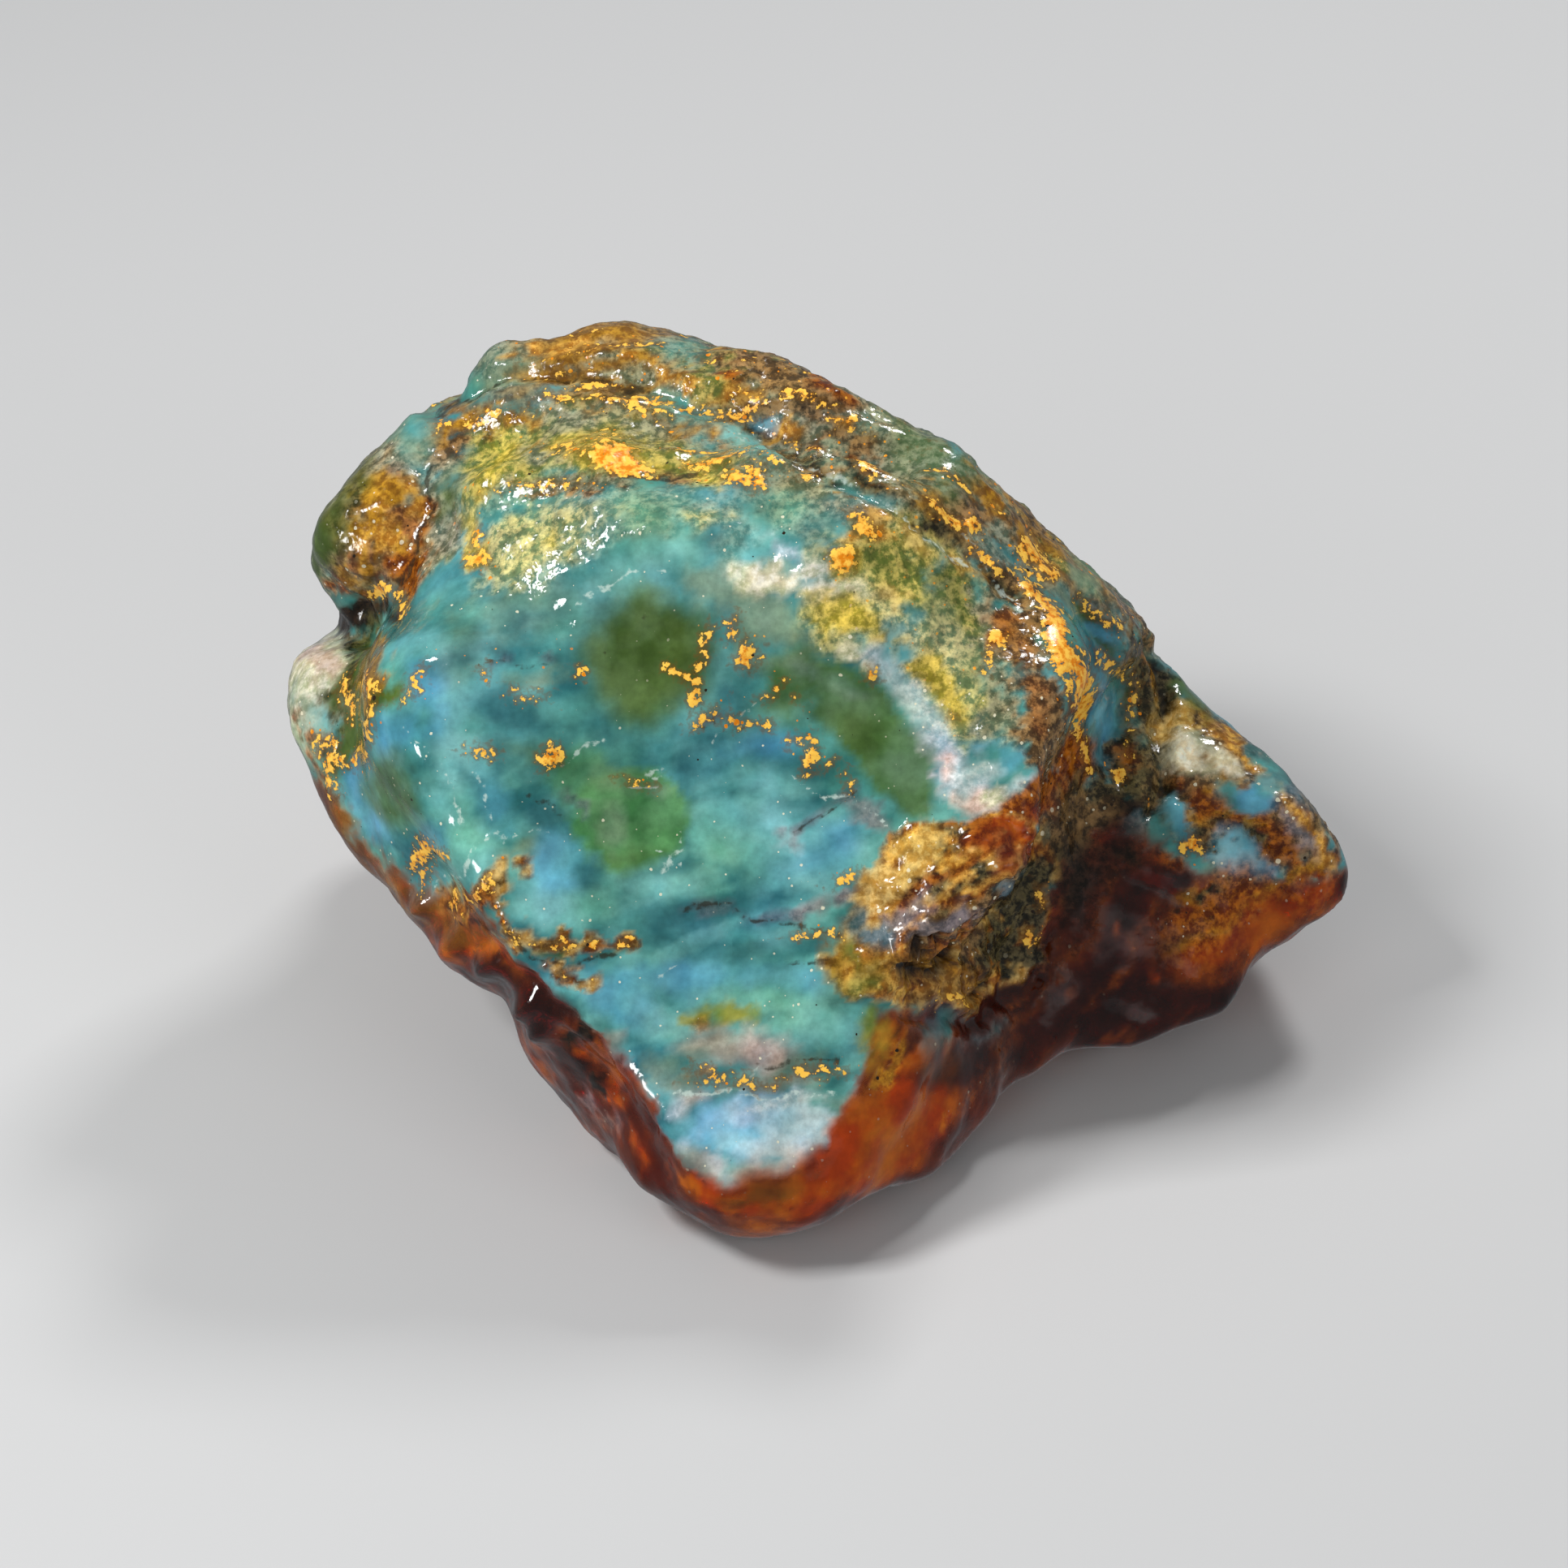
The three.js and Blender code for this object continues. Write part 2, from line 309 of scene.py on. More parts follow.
amber_front = step(np.interp(across, edge_across, edge_up) - up + 0.5 * fringe, -0.5, 0.6)
amber_back = step(BARE_HEIGHT + 4 * patches - height, -1.5, 1.5)
amber = amber_front * front + amber_back * (1 - front)
low_patches = rough(5, 3, stretch=(1, 1, 1.5), seed=9)
paint("amber", amber)
paint("flame", amber * step(low_patches, 0, 0.35))
paint("wine", amber * step(-low_patches, -0.05, 0.3))
# Wine towards the right: dark amber, deepened as painted shade on the flank.
paint("wine", amber * front * 0.85 * step(across + 3 * low_patches, 8, 11))
drawn = rough(1.2, 3, stretch=(5, 1, 2), seed=27, of=turned(1.2))
paint("wine", amber * front * 0.7 * step(drawn, 0.1, 0.4))
paint("flame", amber * front * 0.4 * step(-drawn, 0.25, 0.5))

# ---- The broad face

grain = rough(1.3, 3, stretch=(4.5, 1, 2), seed=25, of=turned(0.35))
below = front * (1 - amber) * step(up, 4, -2)
paint("aqua", 0.5 * below * step(grain, 0.05, 0.35))
paint("deep", 0.5 * below * step(-grain, 0.1, 0.4))

# Lighter, bluer and deeper patches of the blue-green.
dabs(
    "aqua", 1.2, 1, (-1, 12.2, 2.8, 1.5), (-2, -2.6, 3.2, 2.2), (-0.4, 0.2, 2, 1.2),
    (1, -4.6, 3.6, 1.2, 10), (1.6, -12.7, 3.4, 1.6), (-11.8, -6.4, 2.6, 1.6), (-17, -3, 1.4, 2.6, 20),
    (-17.2, 1, 1.4, 2, 25), (-6.4, -5.2, 3.4, 1), (-7, -13, 2.4, 1), (-5.6, 12.2, 2.2, 1.2),
    (-2.4, -11.6, 2, 0.6),
)
dabs(
    "sky", 1.4, 1, (-20.3, 2.8, 1.6, 1.4, -20), (-19.6, 5.6, 1.1, 1.4), (-15.5, -1.2, 1.1, 1.7, 25),
    (-12, -4.1, 1.8, 1.7), (-22.4, -2.2, 1.4, 0.9, -45), (-18.6, -2.6, 0.8, 1), (-9, -11.8, 2.3, 1.6, -35),
    (-4.6, -10.3, 3.8, 1, 5), (1, -10.4, 2.6, 0.8), (-23, -0.4, 0.7, 1.6), (-1, 1.9, 2, 0.8),
)
dabs("sky", 2.2, 0.6, (1.8, -3.6, 3.4, 1, 26))
dabs(
    "deep", 1, 0.7, (-14.8, 4, 2, 1.1, -12), (-12.6, 2.9, 2, 0.7), (-13, -1.5, 1.9, 1.1, -25),
    (-3.4, 2.3, 2, 0.8), (-2, -9.1, 3.6, 0.9, 3), (1.8, -8.8, 1.9, 0.6, -10), (1.3, 0.9, 1.8, 0.9, -30),
    (-3.4, 5, 1.5, 0.7, -15), (-4.1, 12.8, 0.9, 0.6), (-17, 5.9, 0.4, 1.5, 35), (0.9, -1, 1.4, 0.5),
    (-14.8, 7, 1.6, 0.3, 10), (-5.2, 0.6, 0.9, 1.6), (-10.4, -4.8, 0.8, 1, 20), (-11.6, 5.2, 1.2, 0.4, 20),
    (-16.6, -0.2, 0.3, 1.6, 30), (-5.3, -2.2, 0.35, 1.8, 10), (-7.6, -4.9, 2, 0.3, 5),
    (3, -6, 1.6, 0.3, 15), (-1.4, -12.6, 1.8, 0.3, 8), (-9.6, -9.4, 1.6, 0.4, -20),
    (4.6, -6.4, 0.8, 0.5, 30),
)

# Greyer and deeper patches, at the upper left and low down.
dabs("sage", 2, 0.55, (-13.4, 9.6, 4.6, 1.7, 10), (-17, 7.2, 2.8, 1.4, 30))
dabs(
    "deep", 1.4, 0.6, (-14.6, 3.8, 2.2, 1), (-17.2, 6.6, 2, 0.6, 20), (-13.4, 8.9, 2.6, 0.5, 12),
    (0.4, 0.6, 2.4, 1.4, -20),
)
dabs("sage", 1.6, 0.35, (-6.6, -13, 2.6, 0.9, -10))

# The green circle.
dabs("green", 1.2, 0.7, (-10.4, 0.2, 2.2, 1.8, -30))
dabs("green", 0.7, 1, (-8, -1.8, 3.1, 3.1))
dabs("sage", 1.4, 0.5, (-8.6, 0.2, 1.8, 1, -20))

# The olive patch above it, with its offshoots.
dabs("moss", 2.6, 1, (-7, 6.4, 3.6, 3.8))
dabs(
    "olive", 2.2, 0.8, (-7.3, 6.2, 2.5, 2.8), (-7.6, 9.2, 1.8, 1.4), (-5.2, 8, 1.6, 1.8),
    (-13.7, 1.5, 2.4, 0.5, -14), (-7.8, -4.1, 1.7, 0.5, 5),
)

# The olive band that slants down to the right.
dabs(
    "moss", 1, 1, (0.8, 5.8, 2.6, 1.6, -20), (3.6, 4, 2.8, 2.2, -40), (5.9, 1.4, 2.2, 1.8, -55),
    (7.2, -0.6, 1.4, 1.1, -30),
)
dabs("moss", 1.6, 0.8, (0, 4.2, 1.8, 1, -20))
dabs("olive", 1.6, 0.6, (3.8, 3, 2, 1, -45), (2, 13.7, 1.2, 0.8, 20), (-0.2, 4.2, 1, 0.5, -20))
dabs(
    "sage", 0.9, 0.6, (0.6, 6.4, 1.6, 0.6, -25), (3, 5.2, 1.6, 0.5, -30), (-9.6, -2.4, 0.9, 1.4, 20),
    (-7, -0.4, 1.2, 0.5, 10),
)

# A greyish green haze round these.
dabs(
    "sage", 0.9, 0.8, (-0.9, 9, 1.8, 1.4), (-1.8, 6.8, 0.9, 1.3), (-3.6, 10.6, 2.2, 1.4),
    (-14, -3.7, 1.5, 0.6, 35), (-3.4, -14.2, 2.2, 0.7), (0.2, -15.3, 2.6, 0.6, 10),
    (-6.2, -15.3, 1.7, 0.6, -10), (-13.3, 5.6, 1.6, 0.6), (-9, 13.8, 3, 1),
)

# The mossy patch and olive edge at the left.
dabs("moss", 1.4, 0.7, (-21, 0.2, 1.6, 1.8, -20), (-20.4, -1.2, 1.2, 1.2))
dabs("olive", 0.7, 0.5, (-21.2, 0.4, 0.8, 1, -20), (-20.2, -0.8, 0.5, 0.6))
dabs("olive", 0.7, 1, (-23.6, 3.4, 1.1, 2.8, -10), (-21.6, 4.7, 1.6, 0.6, 30))

# Lime, sage and pink above the toe.
dabs("lime", 0.6, 0.9, (-3, -12.4, 1.6, 0.7, 5), (-4.8, -12.5, 1, 0.4, -10), (4.6, -13, 0.7, 1.3, -25))
dabs("mustard", 0.5, 0.7, (-4.4, -12.8, 0.7, 0.3), (-5, -15.6, 1.2, 0.3, 10))
dabs("sage", 1, 1, (-6, -16, 1.7, 0.8, -20), (-0.6, -16.1, 2.6, 0.6, 5))
dabs("pink", 1.2, 0.45, (-0.2, -16.2, 1.8, 0.4, 5), (-2.8, -14.3, 3.2, 1.2, -12), (-2.2, -21.2, 2, 0.5, -6))
dabs("pink", 1.2, 0.65, (-1.4, -14, 1.4, 1, -35), (-4.6, -16.7, 1.5, 0.35, 10), (-9.3, -13.7, 0.6, 0.4))

# Grey and mauve along the dark seams.
dabs(
    "slate", 0.5, 0.8, (-3.4, -6.7, 2.2, 0.4, 2), (-0.4, -7.1, 2.2, 0.4, 3), (1.5, -1.8, 2.2, 0.4, 33),
    (3.4, -0.9, 1.2, 0.4, 5), (-14.9, 6.6, 0.9, 0.3, 25), (-13, 6.5, 0.4, 0.3),
    (-11.2, -0.9, 0.9, 0.3, -50), (-3.9, 3.6, 0.8, 0.3, 30),
)
dabs(
    "mauve", 0.6, 0.7, (1.6, -6.6, 1.6, 0.5, 12), (3.4, -6.2, 0.9, 0.5, 20), (0, -2.9, 0.9, 0.5, 40),
    (4.6, -1.9, 1.2, 0.6, -20),
)

# The pale blue toe, and its edge with the amber.
dabs("sky", 1.2, 1, (-1.2, -18.6, 4.4, 2))
dabs("bright sky", 0.9, 1, (-2.9, -18.4, 2, 1.4), (-4.4, -18.8, 0.9, 0.7))
dabs(
    "pale blue", 0.9, 1, (1.2, -18.4, 2, 1.4), (-0.8, -17.4, 2.6, 0.8), (-0.6, -19.6, 2, 0.6),
    (-3.2, -20.6, 1.2, 0.5, -35),
)
dabs("milk", 0.5, 0.8, (0.4, -16.9, 2.2, 0.4, 5), (-5.6, -17.4, 0.6, 0.5), (-19, -6, 0.9, 0.3))
dabs("amber", 0.8, 1, (4.5, -16, 0.9, 1.4, -10))
toe_edge = front * step(-up, 15.5, 17.5)
paint("amber", toe_edge * amber_front)
blush = near([(-5, -19.4), (-3.8, -20.7), (-1.4, -20.6), (1.2, -20.1), (2.9, -18.9), (3.4, -17.4)], 0.5)
paint("pink", toe_edge * 0.45 * step(blush + fringe, -0.5, 0.6))

# ---- Under the ridge: grains of yellow, olive and cream

dabs(
    "frost", 1.6, 0.9, (-13, 13, 5, 2.2, 12), (-6, 14.6, 5, 1.3), (0, 14.6, 3, 1.4, -15),
    (-2.6, 13, 1.6, 1),
)
dabs(
    "rind", 1.4, 1, (5.6, 11.4, 2.8, 2.4, -20), (6.6, 12.9, 3, 1.6, -38), (9.6, 9, 1.8, 3.2, 30),
    (10.6, 3.4, 1.5, 2.2),
)
dabs(
    "meal", 1.4, 1, (-13.8, 12.6, 3.8, 1.8, 12), (-11.4, 14.8, 2.8, 0.8), (-4.4, 14.4, 1.2, 0.8),
    (3.6, 9, 3, 2, -18), (8.6, 5.6, 2, 4.2, 12),
)
dabs("rind", 1.4, 0.6, (2, 12.2, 1.3, 1.3))
dabs(
    "cream", 0.8, 1, (1.8, 11.6, 0.9, 0.9), (-0.4, 10.9, 2.2, 1.1, -8), (2.6, 10.2, 1.8, 0.7),
    (4, 7.2, 1.3, 0.4, -30),
)
dabs("chalk and highlight", 0.8, 0.8, (-0.2, 11, 1.6, 0.5, -8), (1.6, 10.6, 0.8, 0.3))
dabs(
    "yellow", 0.7, 0.9, (3.3, 11.8, 0.9, 1.3, -10), (2.6, 9.4, 1.9, 0.9, -10), (4.2, 8.4, 1.9, 0.8, -15),
    (8.4, 5, 1.1, 2.2, 15), (-17, 12.6, 1, 0.8), (-17.5, 14, 0.5, 1.2), (7.6, 6.6, 0.9, 0.9),
    (-18.9, 12.6, 0.3, 0.9, -20), (4.9, 6.1, 0.4, 0.7, -20), (-11.9, 12.9, 0.7, 0.4),
)
dabs("olive", 1.2, 0.4, (8.6, 9.8, 1.6, 1.8, 30), (5.6, 11.6, 0.9, 0.9), (9.8, 6.2, 0.8, 1.4))
dabs("ochre", 0.5, 0.8, (5.2, 14.2, 1.6, 0.5, -35), (4, 13.2, 0.7, 0.4, -40))
dabs("straw", 0.6, 0.5, (7.1, 13.2, 1.2, 0.7, -40), (5.6, 10.2, 0.9, 0.4))

# The pale haze at their lower edge.
dabs("slate", 0.6, 0.6, (11, 2.9, 1.1, 1))
dabs("pale blue", 0.6, 0.7, (7, 4.4, 0.4, 1.2, 25), (8, 2.6, 0.4, 1.2, 30), (9.2, 0.8, 0.5, 1.2, 30))
dabs("sky", 0.6, 0.7, (12, 1.4, 1, 0.9), (10.6, 1.9, 0.8, 0.5))
dabs("milk", 1, 0.8, (10.4, 0.4, 1.8, 1.3, 10))
pale_rim = near([(5.2, 6.8), (6.6, 4.8), (7.7, 2.8), (8.8, 0.9), (9.6, -0.6)], 0.5)
paint("milk", front * 0.8 * step(pale_rim + 0.6 * fringe, -0.6, 0.4))
# Pink and cream at the right end of the pale rim, partly a painted highlight.
dabs("pink", 0.8, 1, (10.6, -0.8, 2, 1, 15), (8.7, 0.8, 0.5, 1, 30))
dabs("cream", 0.5, 1, (3.7, 6.8, 1, 0.3, -35), (11.6, -0.4, 0.9, 0.6, 20))
dabs("milk", 0.5, 0.8, (12.9, -0.1, 0.8, 0.6, 20), (0.2, 12.6, 1.4, 0.6, -30), (9.8, 0.2, 0.8, 0.5, -20))

# ---- The upper part: strata along the ridge

dabs("rind", 1.2, 1, (-15, 17.4, 3.4, 2, 30), (-9.6, 18.6, 5, 1.7, -4), (-4, 17.2, 2.4, 1.4, -20))
dabs(
    "frost", 0.9, 1, (-15.4, 15.4, 1.8, 0.8, 20), (-8, 15.2, 5, 0.6), (-2, 15.4, 2.4, 0.7),
    (-20.6, 18.4, 1.6, 2, -40), (-5, 20.2, 2.4, 0.9, -25), (-5.6, 23.3, 2.2, 0.7, -15),
)
dabs(
    "granite", 0.8, 1, (-11, 16.4, 4, 0.7, -2), (-13.4, 18.2, 1.6, 0.7), (-11.4, 19.8, 3, 0.7),
    (1.6, 15.8, 1.9, 0.7, -15), (-7.4, 19.4, 2, 0.7),
)
dabs(
    "yellow", 0.6, 0.8, (-15.4, 17.6, 1.8, 0.4, 45), (-9.4, 18.4, 3.2, 0.8), (-4, 16.6, 1.4, 0.5, -30),
    (-16.4, 15.8, 0.3, 1, -30),
)
dabs(
    "bark", 0.6, 1, (-7, 16.9, 2.2, 0.3, -5), (-18, 18.2, 1.2, 1, 25), (-9.6, 21.2, 1.8, 0.3),
    (-11.4, 15.9, 2.4, 0.25), (-15.6, 19, 1.6, 0.3, 15),
)
dabs(
    "mustard", 0.6, 1, (-17.4, 19.4, 1.8, 0.6, 18), (-17.6, 20.8, 1.4, 0.5, 12),
    (-14.4, 19.2, 1.2, 0.4, 15), (-15, 20.4, 1.4, 0.3, 20),
)
dabs(
    "sage", 0.8, 1, (-15, 21.7, 1.8, 0.7), (-14.4, 22.8, 1.6, 0.4, 10), (-22, 17, 1, 1.4, -40),
    (-18.2, 16.2, 0.5, 1.6, -25),
)
dabs("sage", 0.7, 0.7, (-20, 19.2, 1.4, 1.8, -45), (-21.4, 17.6, 1, 1.4, -40))
dabs(
    "teal", 0.7, 1, (-20, 19.4, 0.5, 0.9, -45), (-12.6, 21.2, 1.4, 0.4, 25), (-5, 20.6, 1.4, 0.6, -25),
    (-17.6, 21.6, 0.6, 1, -40),
)
dabs("aqua", 0.6, 0.9, (-1.9, 18.4, 1.9, 0.9, -28))

# The topmost rim.
dabs(
    "mustard", 0.8, 0.85, (-11.6, 23.6, 3.4, 0.8, 4), (-8.8, 24.4, 3, 0.6), (-7.4, 22.7, 2.8, 0.4, -24),
    (-13.4, 22.3, 1.6, 0.3, 8),
)
dabs(
    "ochre", 0.4, 1, (-12.6, 23.4, 2, 0.15, 4), (-5.4, 21.6, 2, 0.2, -28), (-9, 23, 1, 0.2, -15),
    (-2, 21.1, 1.4, 0.4, -5), (3, 19.5, 1, 0.4), (0.4, 19.3, 1, 0.3, -10),
)

# The hump on the right, and the slope under it.
dabs(
    "bark", 0.8, 1, (-1, 22.2, 3.4, 0.9, -12), (2.4, 20.8, 2, 1, -25), (3, 18.6, 2, 0.7, -20),
    (10, 15, 1.8, 0.9, -40), (13, 14, 2, 0.8, -42),
)
dabs(
    "rust", 0.5, 1, (2.8, 21.3, 1.4, 0.4, -30), (4.4, 17.2, 1, 0.3, -25), (2.2, 18.2, 0.8, 0.2, -15),
    (-3, 22, 1, 0.3, -15),
)
dabs("granite", 0.8, 1, (7, 17.8, 2, 1.5, -40), (1.8, 19, 0.8, 0.4))
dabs("moss", 1.6, 0.6, (8.4, 17.2, 2.6, 1.5, -40))
dabs("lime", 0.5, 0.8, (6.5, 19.9, 1, 0.4, -20))
dabs(
    "teal", 0.6, 1, (9, 18.2, 0.8, 0.4, -50), (4.4, 15.6, 2.2, 0.5, -22), (16, 8, 1.6, 0.8, -50),
    (12.4, 12.4, 1.4, 0.3, -35),
)
dabs(
    "shadow", 0.5, 1, (-1.6, 19.2, 1.6, 0.25, -28), (1.6, 17.2, 1.8, 0.4, -32), (4.8, 16.3, 1.6, 0.3, -20),
    (8.2, 14, 1.6, 0.3, -40), (11.8, 10.6, 0.9, 2, 50),
)
dabs("sky", 0.3, 0.8, (-1.2, 19.6, 0.8, 0.25, -10))
dabs(
    "mustard", 0.5, 1, (11.2, 15.4, 1.2, 0.5, -40), (8.9, 14.4, 1.6, 0.3, -35), (14, 12.2, 1.6, 0.3, -48),
    (13, 13.4, 1, 0.3, -40),
)
dabs("sage", 0.7, 0.9, (16.4, 11.2, 1.8, 0.7, -48), (15.3, 9.8, 1, 0.4, -50))
dabs("ochre", 0.5, 0.5, (10, 11.4, 1.2, 0.35, -45), (11.7, 15.9, 0.4, 0.2))

# ---- Between the grains and the golden stripe

dabs("granite", 0.7, 0.9, (11.2, 6.4, 1, 3, 20), (12.2, 3.6, 0.7, 1.6), (10.7, 9.6, 0.8, 1.4, 35))
dabs(
    "bark", 0.6, 1, (12.9, 7.2, 1.4, 3.2, 22), (13.8, 4, 1.5, 2.6, 6), (12.8, 10.2, 0.6, 2, 42),
    (14, 1.6, 1.2, 1.4), (16, 2, 0.7, 1.3, -8),
)
RUST_BAND = [(0.5, (8.4, -2.5), (10.6, -2.4), (12.8, -1.6)), (1, (12.8, -1.7), (14.8, -0.5), (16.1, 1.8))]
paint("rust", front * step(lines(RUST_BAND) + 0.5 * fringe, -0.2, 0.3))
dabs("rust", 1, 0.5, (13, 6, 0.9, 3.4, 15), (11.4, 8.8, 0.7, 1.6, 35))
dabs(
    "rust", 0.6, 1, (14.6, 0, 1.8, 0.9, 12), (13.6, -1.4, 1.6, 0.5, 20), (11.3, 7.6, 0.6, 0.9),
    (15.6, 3.2, 0.25, 1.2, 8),
)
dabs("bark", 0.8, 0.7, (12.2, 6, 0.9, 1.8, 15))

# ---- Beyond the stripe: the blue rib, and the crack with painted shade in it

dabs("slate", 0.8, 1, (17.6, 5, 1.6, 5, 8))
dabs("teal", 0.6, 0.8, (17, 6.4, 0.9, 3, 14), (17.4, 3, 0.6, 2))
dabs("deep", 0.4, 0.9, (16.6, 6.6, 0.3, 2.4, 14), (18, 2.6, 0.4, 1.6), (17.6, 8.6, 0.3, 1.4, 40))
dabs("olive", 0.5, 0.9, (17.6, 7.2, 0.5, 1.4, 25), (18.3, 4.6, 0.3, 2, 8), (16.7, 9.3, 0.9, 0.4, -45))
dabs("sky", 0.4, 0.8, (17.2, 4, 0.5, 1.8, 14), (17.3, 8.2, 0.9, 0.35, -50))
dabs("bark", 0.8, 1, (19.4, 5, 1.2, 4.4, 10), (17, -0.6, 1.8, 1.2))
dabs("shadow", 0.6, 1, (19.2, 5.4, 0.8, 4, 8), (18.6, 1, 1.4, 2), (16.9, 0, 0.5, 1.4), (19.4, -0.8, 1, 1.6))
dabs("shadow", 1.4, 1, (15.2, -2.8, 2.2, 1.8), (17, -0.8, 2, 1.4))
dabs("rust", 0.5, 0.8, (19.8, 6.4, 0.3, 1.2, 10), (18.5, 1.4, 0.2, 0.6))
# Painted shade in the crack beside the lobe and in the hollow under the rib.
dabs("dark", 0.7, 1, (17.6, -1.6, 1.8, 1.2), (20.3, 1, 0.4, 2.4), (20.6, 5.6, 0.6, 1.6, 10))
dabs("slate", 0.5, 0.9, (19, -2.2, 1, 0.5, 25))
dabs("bark", 0.7, 0.8, (20.4, 8, 1.4, 0.7, -50), (18.3, 9.4, 1.4, 0.6, -50))
dabs("olive", 0.6, 0.8, (21.4, 5.4, 0.7, 1.5, -35))

# ---- The lobe on the right

dabs("bark", 1, 1, (24.6, -0.6, 6, 4.4, -40), (15.6, -2, 2, 1.6, 20))
dabs(
    "rust", 0.8, 1, (23.2, -1.4, 3, 1.2, -35), (26.6, -3.2, 2.4, 1.2, -35), (28.4, -4, 1.2, 1),
    (21.4, -0.2, 1.6, 0.7, -30), (20.4, -4, 1.6, 1),
)
dabs("slate", 0.7, 1, (23.8, 4, 3.6, 0.8, -45), (26.6, 0.9, 3.4, 0.8, -45))
dabs(
    "teal", 0.7, 1, (23.4, 4.2, 2, 0.6, -45), (26, 1.2, 1.4, 0.5, -45), (24.2, -0.6, 1.6, 1, -20),
    (21.2, -1.8, 0.9, 1.7, 30), (21.6, 6, 1.8, 0.5, -55),
)
dabs(
    "sky", 0.6, 1, (25.3, -0.7, 1.3, 1.1), (21.2, -1.8, 0.7, 1.5, 35), (24, -3.9, 1.5, 1.1),
    (25.6, -4.6, 1.6, 0.9, -12), (23.6, 3.6, 1.6, 0.5, -42),
)
dabs(
    "mustard", 0.4, 1, (23.4, 2.9, 1.4, 0.25, -35), (25, 1.5, 1.2, 0.25, -48), (27, -0.9, 1.4, 0.3, -48),
    (28.4, -3.8, 1, 0.6, -30), (24.6, -2.2, 1.4, 0.2, -15), (22.8, -0.4, 0.3, 1, 30),
    (27.4, -4.4, 0.8, 0.3, 20), (22.2, -2, 0.9, 0.3, -40), (20, 5.6, 0.3, 1.4, 10),
)

# Its cream patch, brightened further with a painted highlight, and its brightest blue.
dabs("straw", 0.6, 1, (21, 3.2, 1.2, 1, -20))
dabs("bright sky", 0.9, 0.55, (24, -3.8, 1.2, 0.9), (25.5, -4.6, 1.2, 0.5, -12))
dabs("cream", 1, 1, (21.9, 1.5, 1.9, 1, -25), (23.8, 1, 0.9, 0.6, -40))
dabs("chalk and highlight", 1, 1, (21.8, 1.7, 1.6, 0.9, -25), (23.6, 1.2, 0.9, 0.6, -40), (20.8, 1.5, 0.5, 0.6))
dabs("sage", 0.6, 0.7, (23, 0.5, 1.2, 0.3, -25), (22.2, 2.5, 0.9, 0.3, -30))
dabs(
    "mustard", 0.4, 0.8, (22.4, 0.7, 1.2, 0.25, -20), (22.6, 1.6, 0.25, 0.5, 20),
    (24.2, 0.2, 0.6, 0.3, -40),
)

# Its tip, its outer edge and some darker spots.
dabs("mauve", 0.7, 1, (27.7, -2.2, 1, 1.9, 30))
lobe_edge = near([(22.6, 3.4), (24.6, 1.8), (26.4, -0.2), (28.2, -2.2), (29.2, -4.2)], 0.25)
paint("ochre", front * step(lobe_edge + 0.5 * fringe, -0.2, 0.2))
dabs("shadow", 0.8, 0.9, (19.9, 2.2, 0.8, 1.6, 10))
dabs("olive", 0.8, 0.8, (22.2, 4.3, 1.3, 0.7, -45))
dabs("teal", 0.6, 0.9, (25.9, 0.1, 1, 0.6, -45))
dabs(
    "shadow", 0.5, 1, (20.2, 0.4, 0.5, 0.7), (21.6, -0.5, 1, 0.3, -30), (24.6, -2.6, 1.4, 0.2, -15),
    (22.6, -3, 0.4, 0.7, 20), (20.6, 4.8, 0.4, 1.2, 10),
)

# Its underside: bare amber, with rust over it.
dabs("rust", 2.4, 1, (23.6, -7.4, 4.6, 3, 25), (27.6, -6, 1.6, 1.8, 30))
dabs("amber", 2, 0.7, (26.4, -7.2, 2.6, 1.2, 35), (23.6, -9.2, 2.4, 0.9, 30))
dabs(
    "mustard", 0.5, 0.8, (21.6, -6, 0.9, 0.6, 20), (25.4, -6.4, 2.2, 0.3, 35), (22.9, -8, 2, 0.3, 15),
    (27.6, -4.8, 1, 0.3, 40),
)
dabs("flame", 2.4, 0.7, (25.6, -8, 3, 1.6, 35), (28.4, -6, 0.9, 1.2), (22.4, -9.4, 1.8, 0.8, 20))
dabs(
    "shadow", 0.5, 1, (21.1, -6.8, 0.5, 0.3), (22.3, -7.2, 0.4, 0.3), (23.2, -5.6, 1, 0.2, 15),
    (25, -7.4, 0.9, 0.2, 35),
)

# ---- The left side

# The knob.
dabs("granite", 1, 1, (-23, 14, 3.4, 4.6, -25), (-20.6, 16.4, 2, 1.8, -40), (-19.2, 14.4, 1.2, 3.4, -14))
knob_streaks = rough(0.8, 3, stretch=(1, 4, 1.5), seed=28)
knob = front * step(within((-22, 13.6, 2.8, 4.2, -10)) + fringe, -0.4, 1)
paint("mustard", knob * step(knob_streaks, -0.35, -0.05))
paint("rust", knob * 0.8 * step(-knob_streaks, 0.15, 0.4))
dabs("ochre", 0.6, 0.8, (-21.4, 13.6, 0.5, 1.6, 4), (-22.6, 12.4, 0.4, 1.2, -8), (-20.4, 15.6, 0.3, 1.2))
dabs("olive", 1.2, 0.8, (-24.4, 13.6, 1.3, 2.6, -35), (-22.9, 16, 1, 1.8, -35))
dabs("shadow", 0.6, 0.7, (-23.4, 14.8, 0.4, 1.6, -25), (-24.2, 11.6, 0.4, 1.2, -10))
dabs("olive", 0.8, 0.8, (-25, 12.2, 0.8, 1.8, -15), (-18.4, 15.4, 0.5, 1.4, -20))
dabs("rust", 0.6, 1, (-20.9, 11.4, 1, 1), (-23.5, 9.9, 2.2, 0.4, -15), (-19.8, 13.6, 0.35, 2, -10))

